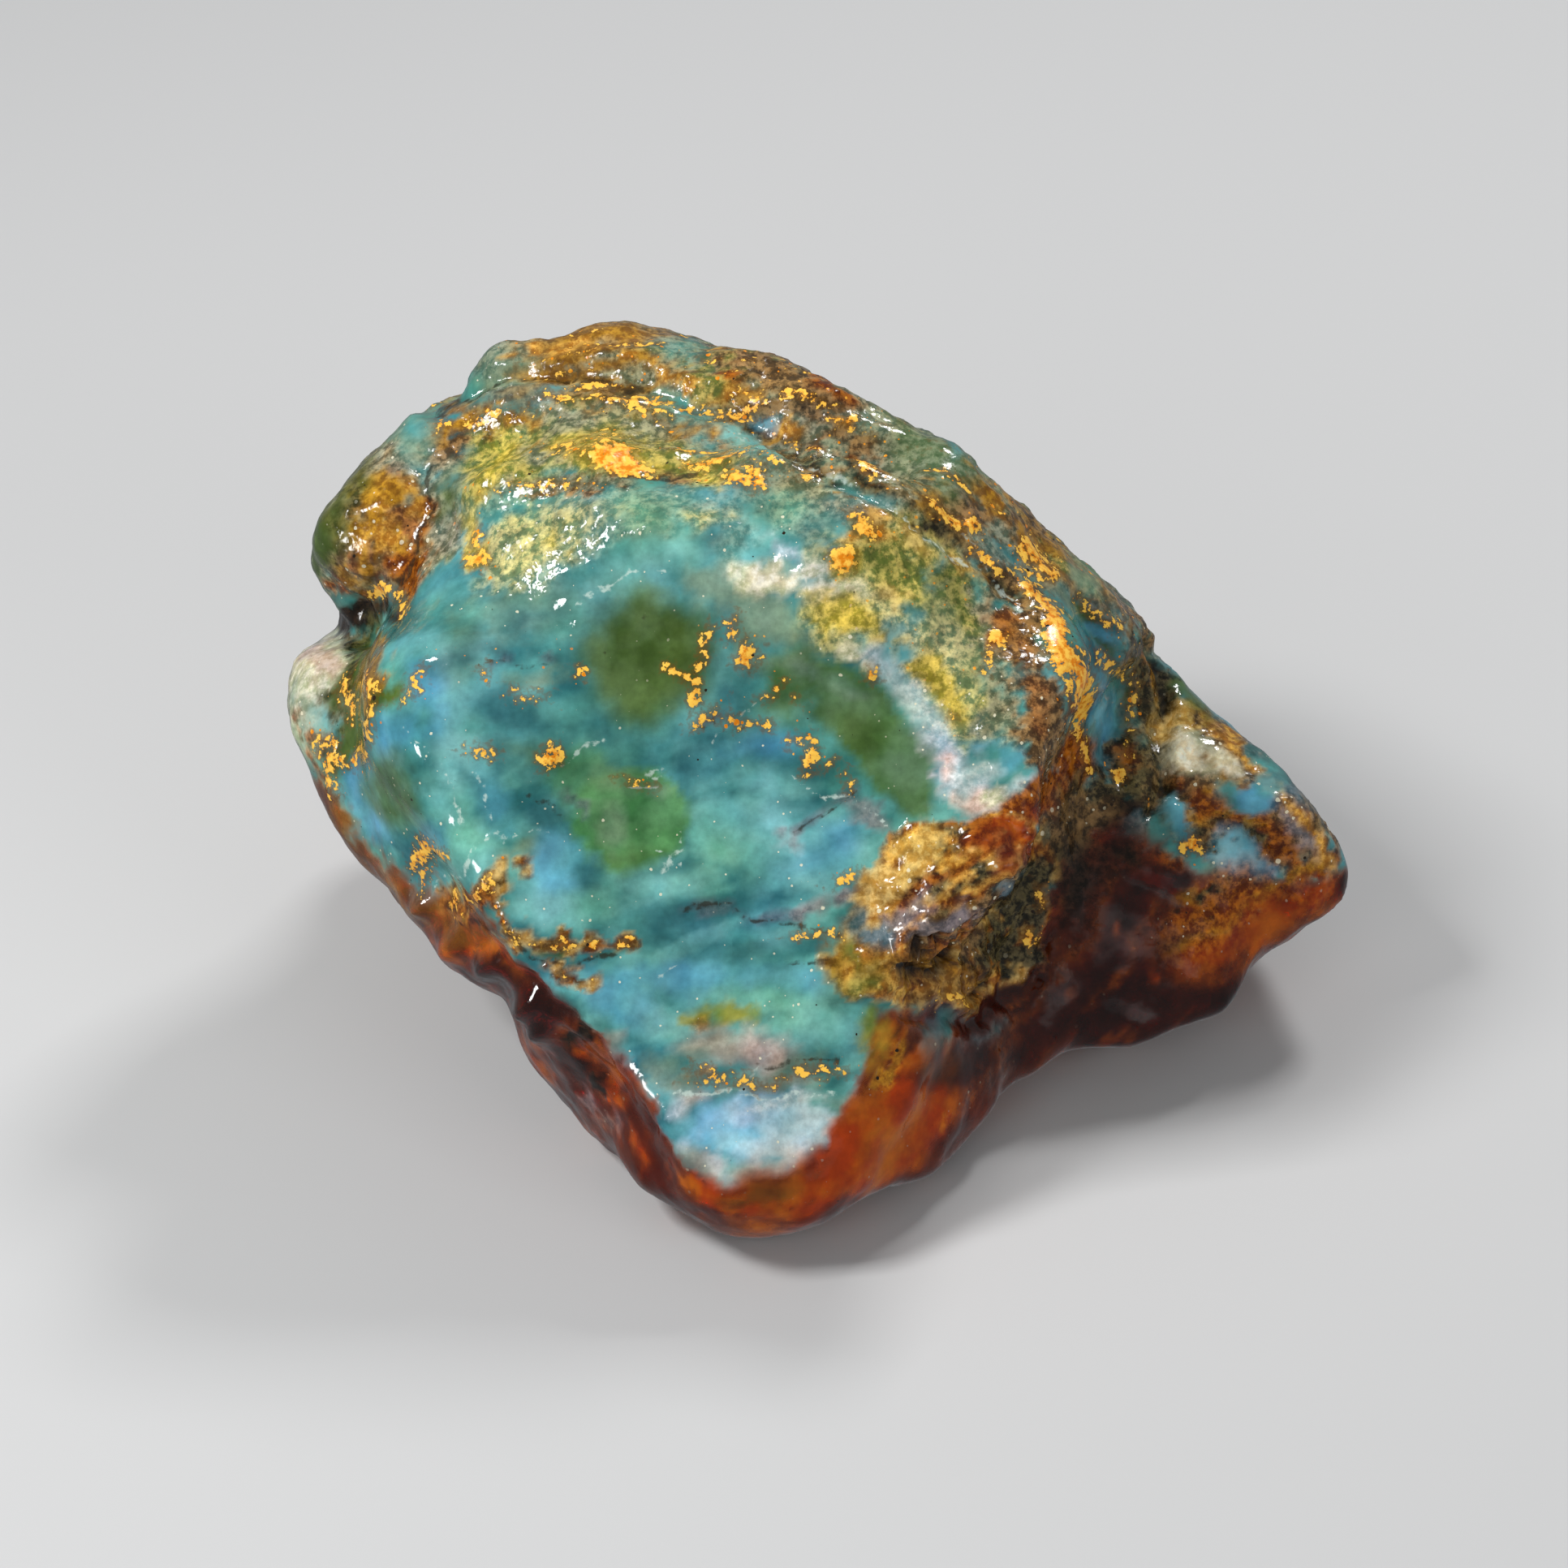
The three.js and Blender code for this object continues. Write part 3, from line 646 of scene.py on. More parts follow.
# The pale heel.
heel_shape = ellipses([(-25.2, 6.8, 2.4, 3.2, 10), (-26, 4, 1.2, 3.2)])
heel = front * step(depth + 1.5 * wobble, -12, -8) * step(heel_shape + fringe, -0.8, 1.6)
paint("cream", heel)
paint("chalk and highlight", heel * 0.7 * step(within((-25, 7.4, 1.4, 1.6)) + fringe, -0.5, 0.9))
dabs("pink", 0.6, 0.8, (-24.6, 6.6, 0.8, 0.8))

# The crevice, painted dark as shade, and the brown and olive edge below it.
dabs("shadow", 0.6, 1, (-22.6, 7.6, 0.9, 1.2, -30))
dabs("dark", 0.5, 1, (-23, 8.7, 1.9, 0.8, 5), (-21.8, 9.1, 0.8, 0.6))
dabs("olive", 0.6, 1, (-22.9, 6, 0.8, 3, -24), (-23.4, 3, 1, 2.4))
dabs("mustard", 0.6, 0.8, (-22.1, 6.1, 0.6, 2, -18))
dabs("moss", 0.8, 0.8, (-23.9, -2.1, 0.9, 0.9, -40))
dabs("rust", 0.6, 0.8, (-24, 10.2, 0.9, 0.5))
dabs("shadow", 0.6, 0.7, (-22.8, 6.8, 0.3, 2.4, -24), (-24.4, 3.4, 0.3, 2))
dabs("rust", 0.4, 0.8, (-25.2, 1.6, 0.4, 2.6, 8), (-24.6, -2.2, 0.4, 1.6, 25))

# ---- The bare amber: honey at the rims, red where it is deep

toe_rim = near([(-5, -21.2), (-3.6, -22.4), (-1, -22.4), (1.8, -21.4), (3.8, -19.6), (4.6, -17.4)], 1)
paint("flame", front * amber_front * step(toe_rim + fringe, -0.4, 0.6))
honey_rim = near([(-25.4, -0.6), (-23.6, -3.8), (-21, -6), (-18.6, -7), (-16.8, -8)], 1)
paint("honey", front * step(honey_rim + fringe, -0.6, 0.7))
dabs("straw", 1.4, 0.45, (-21.6, -5.6, 2.4, 0.5, -35), (-18.2, -7.1, 1.2, 0.5, -20))
dabs("honey", 0.8, 1, (-1, -22, 3, 0.6, 5), (2.6, -20.8, 1, 0.4, 35))
dabs(
    "flame", 1.2, 1, (5.8, -18.2, 2.6, 2.6), (3, -21.6, 3, 1.2, 30), (8.6, -17.4, 1.6, 1.2, 45),
    (-0.8, -23.9, 2.4, 0.6),
)
dabs("honey", 0.8, 0.6, (-0.6, -21.4, 2.6, 0.4, 8), (8.8, -15.4, 1.4, 0.8, 30))
dabs("wine", 1.2, 0.9, (-15.2, -10.2, 2.2, 1.2, -30), (-13, -12.4, 1.4, 1.6, 40))

# The right flank: dark wine amber, its darkness partly painted shade under the ledge, with faint folds.
dabs(
    "wine", 2.6, 1, (14, -11.5, 5, 2.4, 30), (17.4, -8, 3, 4.8), (18.6, -5, 2.8, 2.4),
    (10.6, -14.6, 2, 1, 35), (20, -12, 3.4, 1.6),
)
FOLDS = [
    (0.15, (17.6, -5), (16.2, -8.4), (13.8, -11.4), (11.4, -14.2)),
    (0.15, (19.8, -6.4), (18.4, -9.4), (16.4, -12)), (0.1, (14.9, -8.6), (13.4, -10.4), (11.6, -12.6)),
    (0.15, (12.6, -13.6), (10.6, -16), (8.6, -18.2)),
]
paint("rust", front * amber_front * 0.55 * step(lines(FOLDS) + 0.7 * fringe, -0.5, 0.5))
# Small flame spots on the flank are painted glints.
dabs("flame", 0.5, 0.7, (17.8, -7.7, 0.3, 0.5, -20), (19.9, -10.4, 0.25, 0.4), (15.6, -11, 0.2, 0.4, -30))

# The lower left: amber and wine, with flame spots of clearer amber that also serve as painted glows on its
# facets.
dabs("amber", 1.2, 1, (-12, -15.6, 1.6, 3, 40), (-8.6, -19, 1.2, 3, 40), (-15, -12, 0.8, 1.6, 40))
dabs("wine", 1.4, 0.9, (-10.8, -14.8, 1.2, 2, 40), (-14.6, -11.2, 1.2, 1))
dabs(
    "flame", 0.6, 1, (-13.2, -15.2, 0.6, 1.6, 40), (-10.4, -14.6, 0.6, 0.3, -30), (-9, -17, 0.9, 0.4, -25),
    (-7.6, -19.4, 0.5, 1.6, 35), (-10.6, -18.6, 0.4, 1, 40), (-16.2, -9, 0.6, 0.3),
)
dabs("dark", 0.6, 1, (-11.2, -13.6, 0.5, 1, 10), (-10.2, -15.7, 0.4, 0.4), (-9.7, -16.2, 0.3, 0.5))

# The darkest places, painted dark as shade: the hollow right of the ledge, and low on the right flank.
dabs("dark", 2.4, 1, (15.7, -4.8, 1.8, 4, -8), (18, -4, 1.8, 1.6))
dabs("dark", 1.6, 0.6, (11.2, -16.6, 1.8, 0.9, 40), (20.4, -8.4, 1, 1.2))

# Mineral stains at the lower left and between the toe and the ledge.
dabs("mauve", 0.5, 0.7, (-10.5, -16.8, 0.5, 0.9, 15), (-9.5, -18.1, 0.4, 0.7, 30))
dabs("slate", 0.7, 0.8, (8.2, -13, 1.8, 0.7, 25), (10.8, -13.4, 1.2, 0.5, 25))
dabs("lime", 0.7, 0.7, (5.1, -13.6, 0.6, 1.7, -28))
dabs("teal", 0.8, 0.6, (8.4, -13.5, 0.7, 1.5, -30))
dabs("flame", 0.5, 0.8, (6.4, -13.2, 0.3, 1.6, -35))
dabs("mustard", 0.4, 0.8, (6, -14.6, 0.3, 1.2, -30), (5, -15.6, 0.8, 0.5, 35))

# ---- The crusted ledge, and the crust at the lower left

LEDGE = [
    (3.6, -7), (4.2, -5.4), (5.4, -4.2), (5.6, -2.8), (7.4, -2), (9.4, -2.3), (12, -1.7), (14, -2.4),
    (14.2, -6), (13.8, -9), (12.2, -10.8), (10, -11.9), (8, -11.7), (4.8, -11.6), (3.2, -11.2), (2.4, -9.8),
    (3.2, -8.4),
]
ledge = inside(LEDGE) + 0.5 * rough(1.1, 2, seed=18)
LEFT_CRUST = [
    (0.85, (-17.6, -6.6), (-15.8, -5.3)), (0.6, (-15.8, -5.3), (-14.2, -4.6)),
    (0.7, (-15.4, -6.2), (-14.8, -7.8), (-13, -8.5)), (0.65, (-12.6, -8.6), (-10.4, -8.6), (-8.7, -8.6)),
    (0.3, (-12.6, -9.7), (-10.4, -9.9)), (0.3, (-12, -10.6), (-10.4, -10.5)),
]
left_crust = lines(LEFT_CRUST) - 0.25 + 0.7 * rough(0.9, 2, seed=19)
crust = farthest(ledge, left_crust)
on_crust = front * step(crust, -0.3, 0.2)
paint("ochre", on_crust)
paint("shadow", on_crust * step(left_crust, -0.3, 0.1) * step(ledge, 0.2, -0.2) * 0.85)

# Straw and rust streaks all over, and shadow towards the lower right.
streaks = rough(0.7, 3, stretch=(5, 1, 2), seed=22, of=turned(0.6))
paint("straw", on_crust * step(streaks, 0.12, 0.32))
paint("rust", on_crust * step(-streaks, 0.08, 0.28) * 0.9)
paint("shadow", on_crust * step(rough(1.3, 3, seed=20), 0, 0.25) * step(across + 0.5 * up, 0.5, 6))

# Patches on the ledge.
dabs("straw", 0.5, 0.9, (6.6, -4.8, 2.6, 0.8, 30), (7.6, -3.2, 1.8, 0.7, 8), (4.8, -6.2, 1, 0.5, 30))
dabs(
    "rust", 0.5, 0.9, (11, -2.7, 2, 0.7, 10), (13.2, -3.2, 0.9, 1), (6.9, -6.4, 1.6, 0.25, 20),
    (8.6, -5, 1.2, 0.2, 40), (-16.4, -6.4, 1, 0.5, 35),
)
dabs(
    "bark", 0.7, 1, (8.6, -8.2, 2.4, 1.4, 25), (11, -6.4, 1.2, 0.9, 30), (6.6, -9.8, 1.6, 0.8),
    (7.8, -11, 2.2, 0.5),
)
dabs(
    "shadow", 0.6, 1, (12.3, -6.6, 1.3, 2.4, -18), (11.2, -9.4, 1.9, 0.9, 25), (10.4, -4.7, 0.9, 0.3, 35),
    (13.4, -9, 0.9, 1),
)
dabs("mauve", 0.5, 0.9, (6.4, -7, 1.9, 0.6, 18), (9.3, -7.1, 1.3, 0.7, 35), (7.6, -7.8, 1.2, 0.4, 25))
dabs(
    "rust", 0.5, 0.9, (7.8, -5.6, 2, 0.25, 30), (8.6, -8.6, 1.8, 0.3, 30), (5.8, -9.4, 1.4, 0.25, 10),
    (9.8, -9.9, 1.2, 0.25, 20),
)
dabs("slate", 0.6, 1, (4.6, -8, 1.4, 1, -20), (12, -5.5, 0.9, 0.4, 40))
dabs(
    "olive", 0.4, 0.9, (3.8, -9.3, 0.7, 1.2), (4.4, -10.8, 1.4, 0.4), (-12.4, -9.2, 1.4, 0.3, -15),
    (-9.4, -9.2, 0.8, 0.3, 15),
)
dabs(
    "mustard", 0.9, 0.55, (4.4, -10, 1.6, 1.6), (3.2, -9.6, 0.9, 1.2), (7, -9.8, 2, 0.8),
    (9.4, -10.2, 1.2, 0.8),
)
dabs("olive", 1.4, 0.5, (4.1, -10.2, 1.9, 1.5), (3.6, -8.8, 0.8, 0.8))
dabs("rind", 0.5, 0.7, (3.6, -10.6, 0.9, 0.4, -30), (5.4, -11, 0.8, 0.25))
dabs(
    "ochre", 0.4, 0.8, (9.2, -11.5, 1, 0.3, 8), (7, -10.9, 1.6, 0.3), (11.6, -4.7, 1.2, 0.35, 20),
    (3.4, -10, 0.4, 0.8),
)
dabs("amber", 1, 0.7, (11.6, -2.8, 2, 0.6, 10), (13.6, -1.6, 0.9, 0.4, 20), (12.2, -3.9, 1.2, 0.6, 10))
# Two small flame spots are a painted glow along the ledge's top.
dabs("flame", 0.3, 1, (12.2, -2.4, 0.5, 0.4), (12.9, -3, 0.4, 0.2))

# Holes in it, painted dark as shade.
PITS = [
    (7.2, -8.7, 0.45, 0.8), (6.9, -10.1, 0.8, 0.35, 10), (8.9, -9.4, 0.9, 0.35, 20), (8.2, -8.4, 0.22, 0.4),
    (10.6, -10.9, 0.5, 0.25), (8.1, -10.2, 0.7, 0.3, 20),
]
pits = ellipses(PITS)
paint("dark", front * step(pits, -0.2, 0.1))

# ---- Gold: the stripe, veins and flecks

VEINS = [
    (0.3, (12.9, 10.5), (13.7, 9.5), (14.5, 8.5)), (0.5, (14.3, 8.6), (15.1, 7.2), (15.5, 6)),
    (0.45, (15.5, 6), (15.8, 4.6), (15.9, 3.8)), (0.2, (15.9, 3.8), (16.1, 2.4), (16.3, 1)),
    (0.16, (-6.6, 6.6), (-5.9, 6.1), (-5.3, 6), (-4.8, 5.6), (-4.6, 4.4)),
    (0.13, (-4.7, 6.4), (-4.3, 7.2), (-4, 8.2)), (0.08, (-4.7, 2.9), (-4.3, 3.4), (-3.8, 4.1)),
    (0.14, (-3.1, 3.5), (-2.2, 3.3), (-1, 3.1)), (0.14, (0.4, 2.4), (1.3, 2.3), (1.5, 1.6), (1, 1)),
    (0.2, (-20, -4.3), (-19.2, -3.9), (-18.4, -3.7)), (0.16, (-19.5, -3.2), (-19.2, -4.2), (-19.1, -5.4)),
    (0.14, (-23.5, 5.4), (-23.4, 4.6), (-23.6, 3.6)),
    (0.12, (-22.2, 5.8), (-22.2, 4.6), (-22.3, 2.6), (-22.9, 0.8)),
    (0.12, (-24.7, 2.5), (-24.3, 1.4), (-23.1, 0.9)), (0.12, (-24.4, 1.4), (-24.3, 0.2), (-24.2, -0.6)),
    (0.05, (-5, -15), (-3.4, -15.8), (-1.6, -16.1)),
    (0.04, (-0.6, -16), (0.4, -15.8), (1.6, -15.5), (3.2, -15.1)),
    (0.3, (7.9, 15.1), (8.9, 14.3), (10.3, 13.7)), (0.12, (9.9, 12.6), (11, 12), (12, 11.4)),
    (0.22, (13.2, 12.8), (13.8, 12.1), (14.4, 11.2)), (0.06, (16, 6.8), (17, 6.2), (17.9, 5.7)),
    (0.12, (12.8, 12), (13.8, 11)),
]
FLECKS = [
    (-8.9, 18, 1.9, 0.9, -8), (-8, 17.5, 1.4, 0.6), (-3.6, 17.9, 1.5, 0.4, 4), (-2.4, 16.3, 0.9, 0.4, -40),
    (-1.4, 16.3, 0.4, 0.7, 20), (-13, 16.4, 1.8, 0.12, 8), (-11.6, 18.3, 0.7, 0.15),
    (-15.8, 19.3, 1.4, 0.2, 15), (-16.8, 12.6, 0.8, 0.3, -15), (-17.1, 13.8, 0.25, 0.4),
    (-2.6, 8.5, 0.2, 0.5), (-1.9, 7, 0.4, 0.7, -25), (-14, 4.8, 0.7, 0.15, -10), (-12.6, 1.3, 0.5, 0.4),
    (-16.3, 1.6, 0.5, 0.15, -15), (11.4, 7.8, 0.45, 0.6), (10.6, 6.5, 0.2, 0.5, -25),
    (4.8, 5.8, 0.3, 0.4, -30), (2.5, 1.2, 0.2, 0.15), (3.3, 0.4, 0.16, 0.12), (3.5, -0.4, 0.18, 0.14),
    (-8, 0, 0.5, 0.1, -25), (3.4, -5.1, 0.6, 0.16), (3.3, 11.9, 0.6, 0.8, 10), (4.8, 13.8, 1, 0.3, -35),
    (-0.8, 17.3, 0.35, 0.1), (1.2, 16.6, 0.6, 0.15, -5), (3, 19.4, 0.7, 0.25), (21.9, -3.3, 0.45, 0.4),
    (-7.2, 20.3, 1, 0.14, -12), (-9.6, 20.9, 1, 0.1), (-12, 20.8, 0.6, 0.15), (-1.9, 21, 0.8, 0.2),
    (-18.4, 19.6, 0.3, 0.2), (17.4, 6.6, 0.6, 0.08, -40), (17.2, 9.3, 0.6, 0.08, -45),
    (18.6, 4, 0.06, 0.8, 5), (18, 0.7, 0.3, 0.25), (-21.7, 9.8, 0.7, 0.25), (-0.4, 5.2, 0.35, 0.2, 40),
    (-1, 4.7, 0.3, 0.12), (0.8, 4.4, 0.12, 0.12), (-10.8, 6, 0.2, 0.12), (-16, 5.8, 0.2, 0.3, -40),
    (4.4, 17.1, 0.6, 0.15, -25), (-20, 5.4, 0.5, 0.08, 50), (-3.8, -15.7, 0.5, 0.08), (1.2, -8, 0.5, 0.1),
    (2.4, -8.1, 0.3, 0.1), (9, -11.5, 0.6, 0.1, 5), (13.3, -8.5, 0.3, 0.4, -20), (13.8, -6.1, 0.1, 0.2),
    (8.9, 3.3, 0.12, 0.1),
]
gold_front = farthest(lines(VEINS), ellipses(FLECKS), left_crust - 0.42)

# Where crumbs of gold are scattered.
SPECKLED = [(-14, 6.4, 6, 2.4, -8), (-2, 5.4, 5, 3, -30), (8, 10, 5, 5), (-11, 18, 8, 3)]
gold_front = np.maximum(gold_front, -0.95 + 0.25 * step(ellipses(SPECKLED), 0, 1))

# Gold in the strata.
gold_band = rough(0.9, 2, stretch=(5, 1, 1), seed=11, of=layer)
gold_strata = 0.6 * step(gold_band + 0.25 * patches, 0.2, 0.6) * (1 - amber) - 0.4
gold_strata -= 0.08 * (1 - front)
gold_on_top = gold_strata - 0.15 - 2 * (1 - layered)
gold = np.where(front > 0.5, np.maximum(gold_front, gold_on_top), gold_strata)

# ---- Thin lines: pale cracks, and dark seams

PALE_LINES = [
    (0.07, (-7.9, 0.9), (-7.2, 0.4), (-7.6, 0), (-6.9, 0.2), (-6.6, 0.9), (-7.3, 1.1)),
    (0.05, (-8.6, -0.1), (-7.6, -0.6), (-7, -0.4)), (0.06, (-5.3, -2.3), (-5.8, -3.7), (-6.6, -4.8)),
    (0.05, (-7, -3.6), (-5.9, -3.8), (-4.6, -3.2)), (0.04, (-5.7, -3.9), (-5.2, -5)),
    (0.06, (-18.2, -5.6), (-16.6, -3.6), (-15.6, -3), (-12.4, -2.6)),
    (0.05, (-16.6, 0.4), (-15.4, -2), (-14.8, -3.4)), (0.05, (-7.4, -10.6), (-5.4, -9.8)),
    (0.06, (-6, -16.7), (-3, -16.4), (0.4, -16.9), (3, -16.4)), (0.05, (-2, -15.8), (-0.8, -14)),
    (0.05, (0.2, 0.8), (1.6, -0.6), (3.4, -1), (6, -2.4)), (0.05, (-12.2, 0.4), (-11.2, 1.6), (-9.6, 2.2)),
    (0.05, (-20.4, 3.6), (-18, 0.8), (-17.2, -2)), (0.06, (2.8, 16.8), (5.6, 15.2), (8, 13.2), (9.6, 11.6)),
    (0.05, (-2.8, 19), (0.4, 17.8), (3, 16.4)), (0.05, (9.4, 13.4), (11.4, 11), (12.6, 9)),
    (0.05, (-1.6, 4.4), (-3.4, 2.6), (-3.8, 0.6)), (0.05, (-10.8, 9.8), (-9, 11), (-6.4, 11.4)),
]
DARK_LINES = [
    (0.1, (-5.4, -6.8), (-3.2, -6.5), (-1.2, -7.2), (1, -7.6), (3, -8.2)),
    (0.06, (-4.6, 3), (-3.6, 2.8), (-1.6, 3)), (0.08, (0.6, -2.4), (2.2, -1.6), (4, -0.8)),
    (0.08, (-13.6, -0.4), (-12.2, -1), (-11.8, -1.8)), (0.07, (-16.4, 6.2), (-14.6, 6.6), (-12.8, 6.2)),
    (0.1, (-14.8, -7.6), (-13.4, -9.4), (-11.6, -9.8), (-9, -9.2)),
    (0.08, (-1.8, -15), (0.8, -15.2), (3, -14.6)), (0.05, (-4.8, 5.2), (-3.4, 2.8)),
    (0.1, (-17.2, -7.6), (-16, -7.7)), (0.07, (0.2, -9.6), (2.6, -9.6)),
    (0.14, (-9, 17), (-6.4, 16.8), (-4.6, 17.2)),
    (0.16, (-19, 17.6), (-19.6, 14.6), (-20.4, 12), (-21.8, 9.8)),
    (0.12, (-19, 20.2), (-17.4, 21.2), (-13.6, 22.2), (-10.4, 22), (-7.6, 21.5)),
    (0.12, (-10.4, 6.5), (-10.2, 6.3)), (0.1, (-7.4, 8.9), (-7.3, 8.7)), (0.08, (-14.9, 6.9), (-14.7, 6.7)),
    (0.08, (-9.3, 7.3), (-9.1, 7.2)),
]
FAR = 3  # millimetres: the back counts as this far from every line
pale_lines = front * (FAR + lines(PALE_LINES)) - FAR
dark_lines = front * (FAR + lines(DARK_LINES)) - FAR

# ---- Small clouds over every colour

look[:, BOTH_COLOURS] *= np.exp(0.28 * rough(1.6, 4, seed=26))[:, None]
look[:, BOTH_BLUES] *= np.exp(0.25 * rough(4, 3, seed=29))[:, None]
look[:, BOTH_COLOURS] = np.minimum(look[:, BOTH_COLOURS], 1)

# Pale specks, partly dust and partly painted glints, show on the lighter, opaque parts.
dust_and_glint_amount = step(look[:, GRAINS].max(axis=1), 0.05, 0.35) * (1 - look[:, CLEAR])

# ---- Relief, in millimetres along the normal

PIT_DEPTH = 0.9


def hill(distance, wide):
    return np.exp(-(distance / wide) ** 2)


coarse = look[:, COARSE]
relief = 0.14 * rough(3.4, 2, seed=12)
relief += layered * (0.24 * rough(1.6, 3, stretch=(2.2, 1, 1.5), seed=13, of=layer) - 0.1)
relief += (0.03 + 0.16 * coarse) * rough(1.1, 3, seed=10)
relief += front * step(ledge, -0.3, 0.6) * (0.55 * rough(1.7, 4, seed=15) - 0.1)
relief += amber * 0.24 * rough(3.2, 2, seed=16)
relief += front * 0.1 * step(gold_front, -0.3, 0.2)

# The crest of the ridge, which sinks towards the left.
CREST = [(-18.5, 9.2), (-14.5, 10.7), (-11, 12), (-8, 13), (-3, 12.8), (1, 11.8)]
from_crest = near(CREST, 0)
relief += front * 0.4 * hill(from_crest, 2.4)
relief += front * 0.4 * step(within((-14, 12.6, 4, 3.2)), 0, 3.2)
relief -= front * 0.22 * np.clip(-11.5 - true_across, 0, 4) * hill(from_crest, 2.2)
relief += front * 0.05 * hill(from_crest, 3.2) * rough(0.8, seed=21)

# Low swellings: how tall, how wide, and where their tops are.
SWELLINGS = [
    (0.7, 2.5, [(5.5, 0.8)]),
    (0.8, 0.7, [(-19.2, -6.4), (-17.5, -8.7), (-15.9, -9.8), (-13.7, -11.8), (-12.9, -13.1)]),
    (0.25, 0.6, [(-7.2, 13.8), (-4.4, 13.5), (-3, 13.2), (-12, 14.7), (-10.4, 14.9)]),
    (0.35, 0.6, [(20.8, 1.5), (21.5, 2.3), (23.4, 1.4), (22.6, 1.9)]),
]
for tall, wide, tops in SWELLINGS:
    for a, b in tops:
        relief += front * tall * hill(np.hypot(true_across - a, true_up - b), wide)

# Grooves: how deep, how wide to each side, and where they run.
GROOVES = [
    (0.4, 0.8, [(3, -11.6), (6, -12.3), (10, -12.6), (13.4, -10.4), (14.6, -7)]),
    (0.35, 0.8, [(-15.8, -8.6), (-13, -11.2), (-10, -14.6), (-7, -18.4)]),
    (0.4, 0.7, [(1.2, 17.2), (4, 16), (7.4, 14), (10.6, 11.6), (12.6, 9.4)]),
    (0.8, 4, [(-17.5, 13.8), (-14.2, 15.8), (-11.6, 17.1), (-9, 18), (-5, 17.8)]),
    (0.8, 1.1, [
        (-19.4, 20.3), (-17.4, 21.3), (-13.6, 22.3), (-10.4, 22.1), (-7.6, 21.6), (-5, 20.8), (-2.4, 19.7),
        (1, 18.2),
    ]),
    (0.6, 1.6, [(-19.4, 17.2), (-20.1, 14.5), (-20.9, 12), (-22, 9.6)]),
    (0.35, 1, [(16.4, 9.8), (17.4, 6.8), (17.9, 3.6), (17.8, 0.6)]),
    (0.9, 0.9, [(20.1, 7.4), (20.5, 4), (20.2, 1), (19.8, -1.6)]),
    (0.6, 0.9, [(21, -0.4), (23.4, -1.8), (26.4, -3)]),
]
for deep, wide, chain in GROOVES:
    relief -= front * deep * step(near(chain, wide), 0, wide)
relief -= front * PIT_DEPTH * step(pits, -0.3, 0.25)

# No relief where the nodule rests.
relief *= step(height, 0, 1.5)

# The skin stays inside the solid's box.
coords += normals * (relief * MM)[:, None]
coords = np.clip(coords, np.array(low), np.array(high))
mesh.vertices.foreach_set("co", coords.ravel())
mesh.update()


def keep_colour(name, values):
    values = np.concatenate([values, np.ones((count, 1))], axis=1)
    mesh.attributes.new(name, "FLOAT_COLOR", "POINT").data.foreach_set("color", np.float32(values).ravel())


def keep(name, values):
    mesh.attributes.new(name, "FLOAT", "POINT").data.foreach_set("value", np.float32(values))


# The material reads these from the mesh.
keep_colour("tint", look[:, TINT])
keep_colour("grains", look[:, GRAINS])
keep("coarse", coarse)
keep("clear", look[:, CLEAR])
keep("dust_and_glint_amount", dust_and_glint_amount)
keep("gold", np.clip(gold, -FAR, 1))
keep("pale", np.clip(pale_lines, -FAR, 1))
keep("dark", np.clip(dark_lines, -FAR, 1))

# ---- The material

PALE_CRACK = (0.62, 0.74, 0.66, 1)
DARK_SEAM = (0.02, 0.016, 0.008, 1)
GOLD_RIM = (0.13, 0.055, 0.008, 1)
ORANGE_GOLD = (0.74, 0.22, 0.004, 1)
YELLOW_GOLD_AND_HIGHLIGHT = (1.0, 0.58, 0.08, 1)
DUST_AND_GLINT = (0.86, 0.8, 0.58, 1)
SOOT = (0.02, 0.012, 0.006, 1)
AMBER_IOR = 1.54
AMBER_LIGHT = (0.95, 0.3, 0.04, 1)  # what is left of white light
AMBER_DENSITY = 180.0  # per metre
SPECK_SPACING = 0.5  # millimetres
BUMP_DEPTH = 0.16  # millimetres

material = bpy.data.materials.new("amber")
material.use_nodes = True
tree = material.node_tree
tree.nodes.clear()


def node(kind, inputs=None, **settings):
    """Adds a node, sets it, and fills its inputs with values or links."""
    made = tree.nodes.new("ShaderNode" + kind)
    for name, value in settings.items():
        setattr(made, name, value)
    for name, value in (inputs or {}).items():
        if isinstance(value, bpy.types.NodeSocket):
            tree.links.new(value, made.inputs[name])
        else:
            made.inputs[name].default_value = value
    return made


def attribute(name, output="Fac"):
    return node("Attribute", attribute_name=name).outputs[output]


def arith(operation, a, b=0.0, c=0.0):
    return node("Math", {0: a, 1: b, 2: c}, operation=operation).outputs[0]


def grade(value, start, end, to_start=0.0, to_end=1.0):
    """Maps start..end smoothly to to_start..to_end."""
    inputs = {"Value": value, "From Min": start, "From Max": end, "To Min": to_start, "To Max": to_end}
    return node("MapRange", inputs, interpolation_type="SMOOTHSTEP").outputs[0]


def mix(factor, a, b):
    return node("Mix", {0: factor, 6: a, 7: b}, data_type="RGBA").outputs[2]


def clouds(length, detail, roughness=0.5):
    """Noise from 0 to 1, with bumps about length millimetres apart."""
    inputs = {"Vector": mm, "Scale": 1 / length, "Detail": detail, "Roughness": roughness}
    return node("TexNoise", inputs).outputs[0]


place = node("TexCoord").outputs["Object"]
mm = node("VectorMath", {0: place, "Scale": 1 / MM}, operation="SCALE").outputs[0]
is_coarse = attribute("coarse")

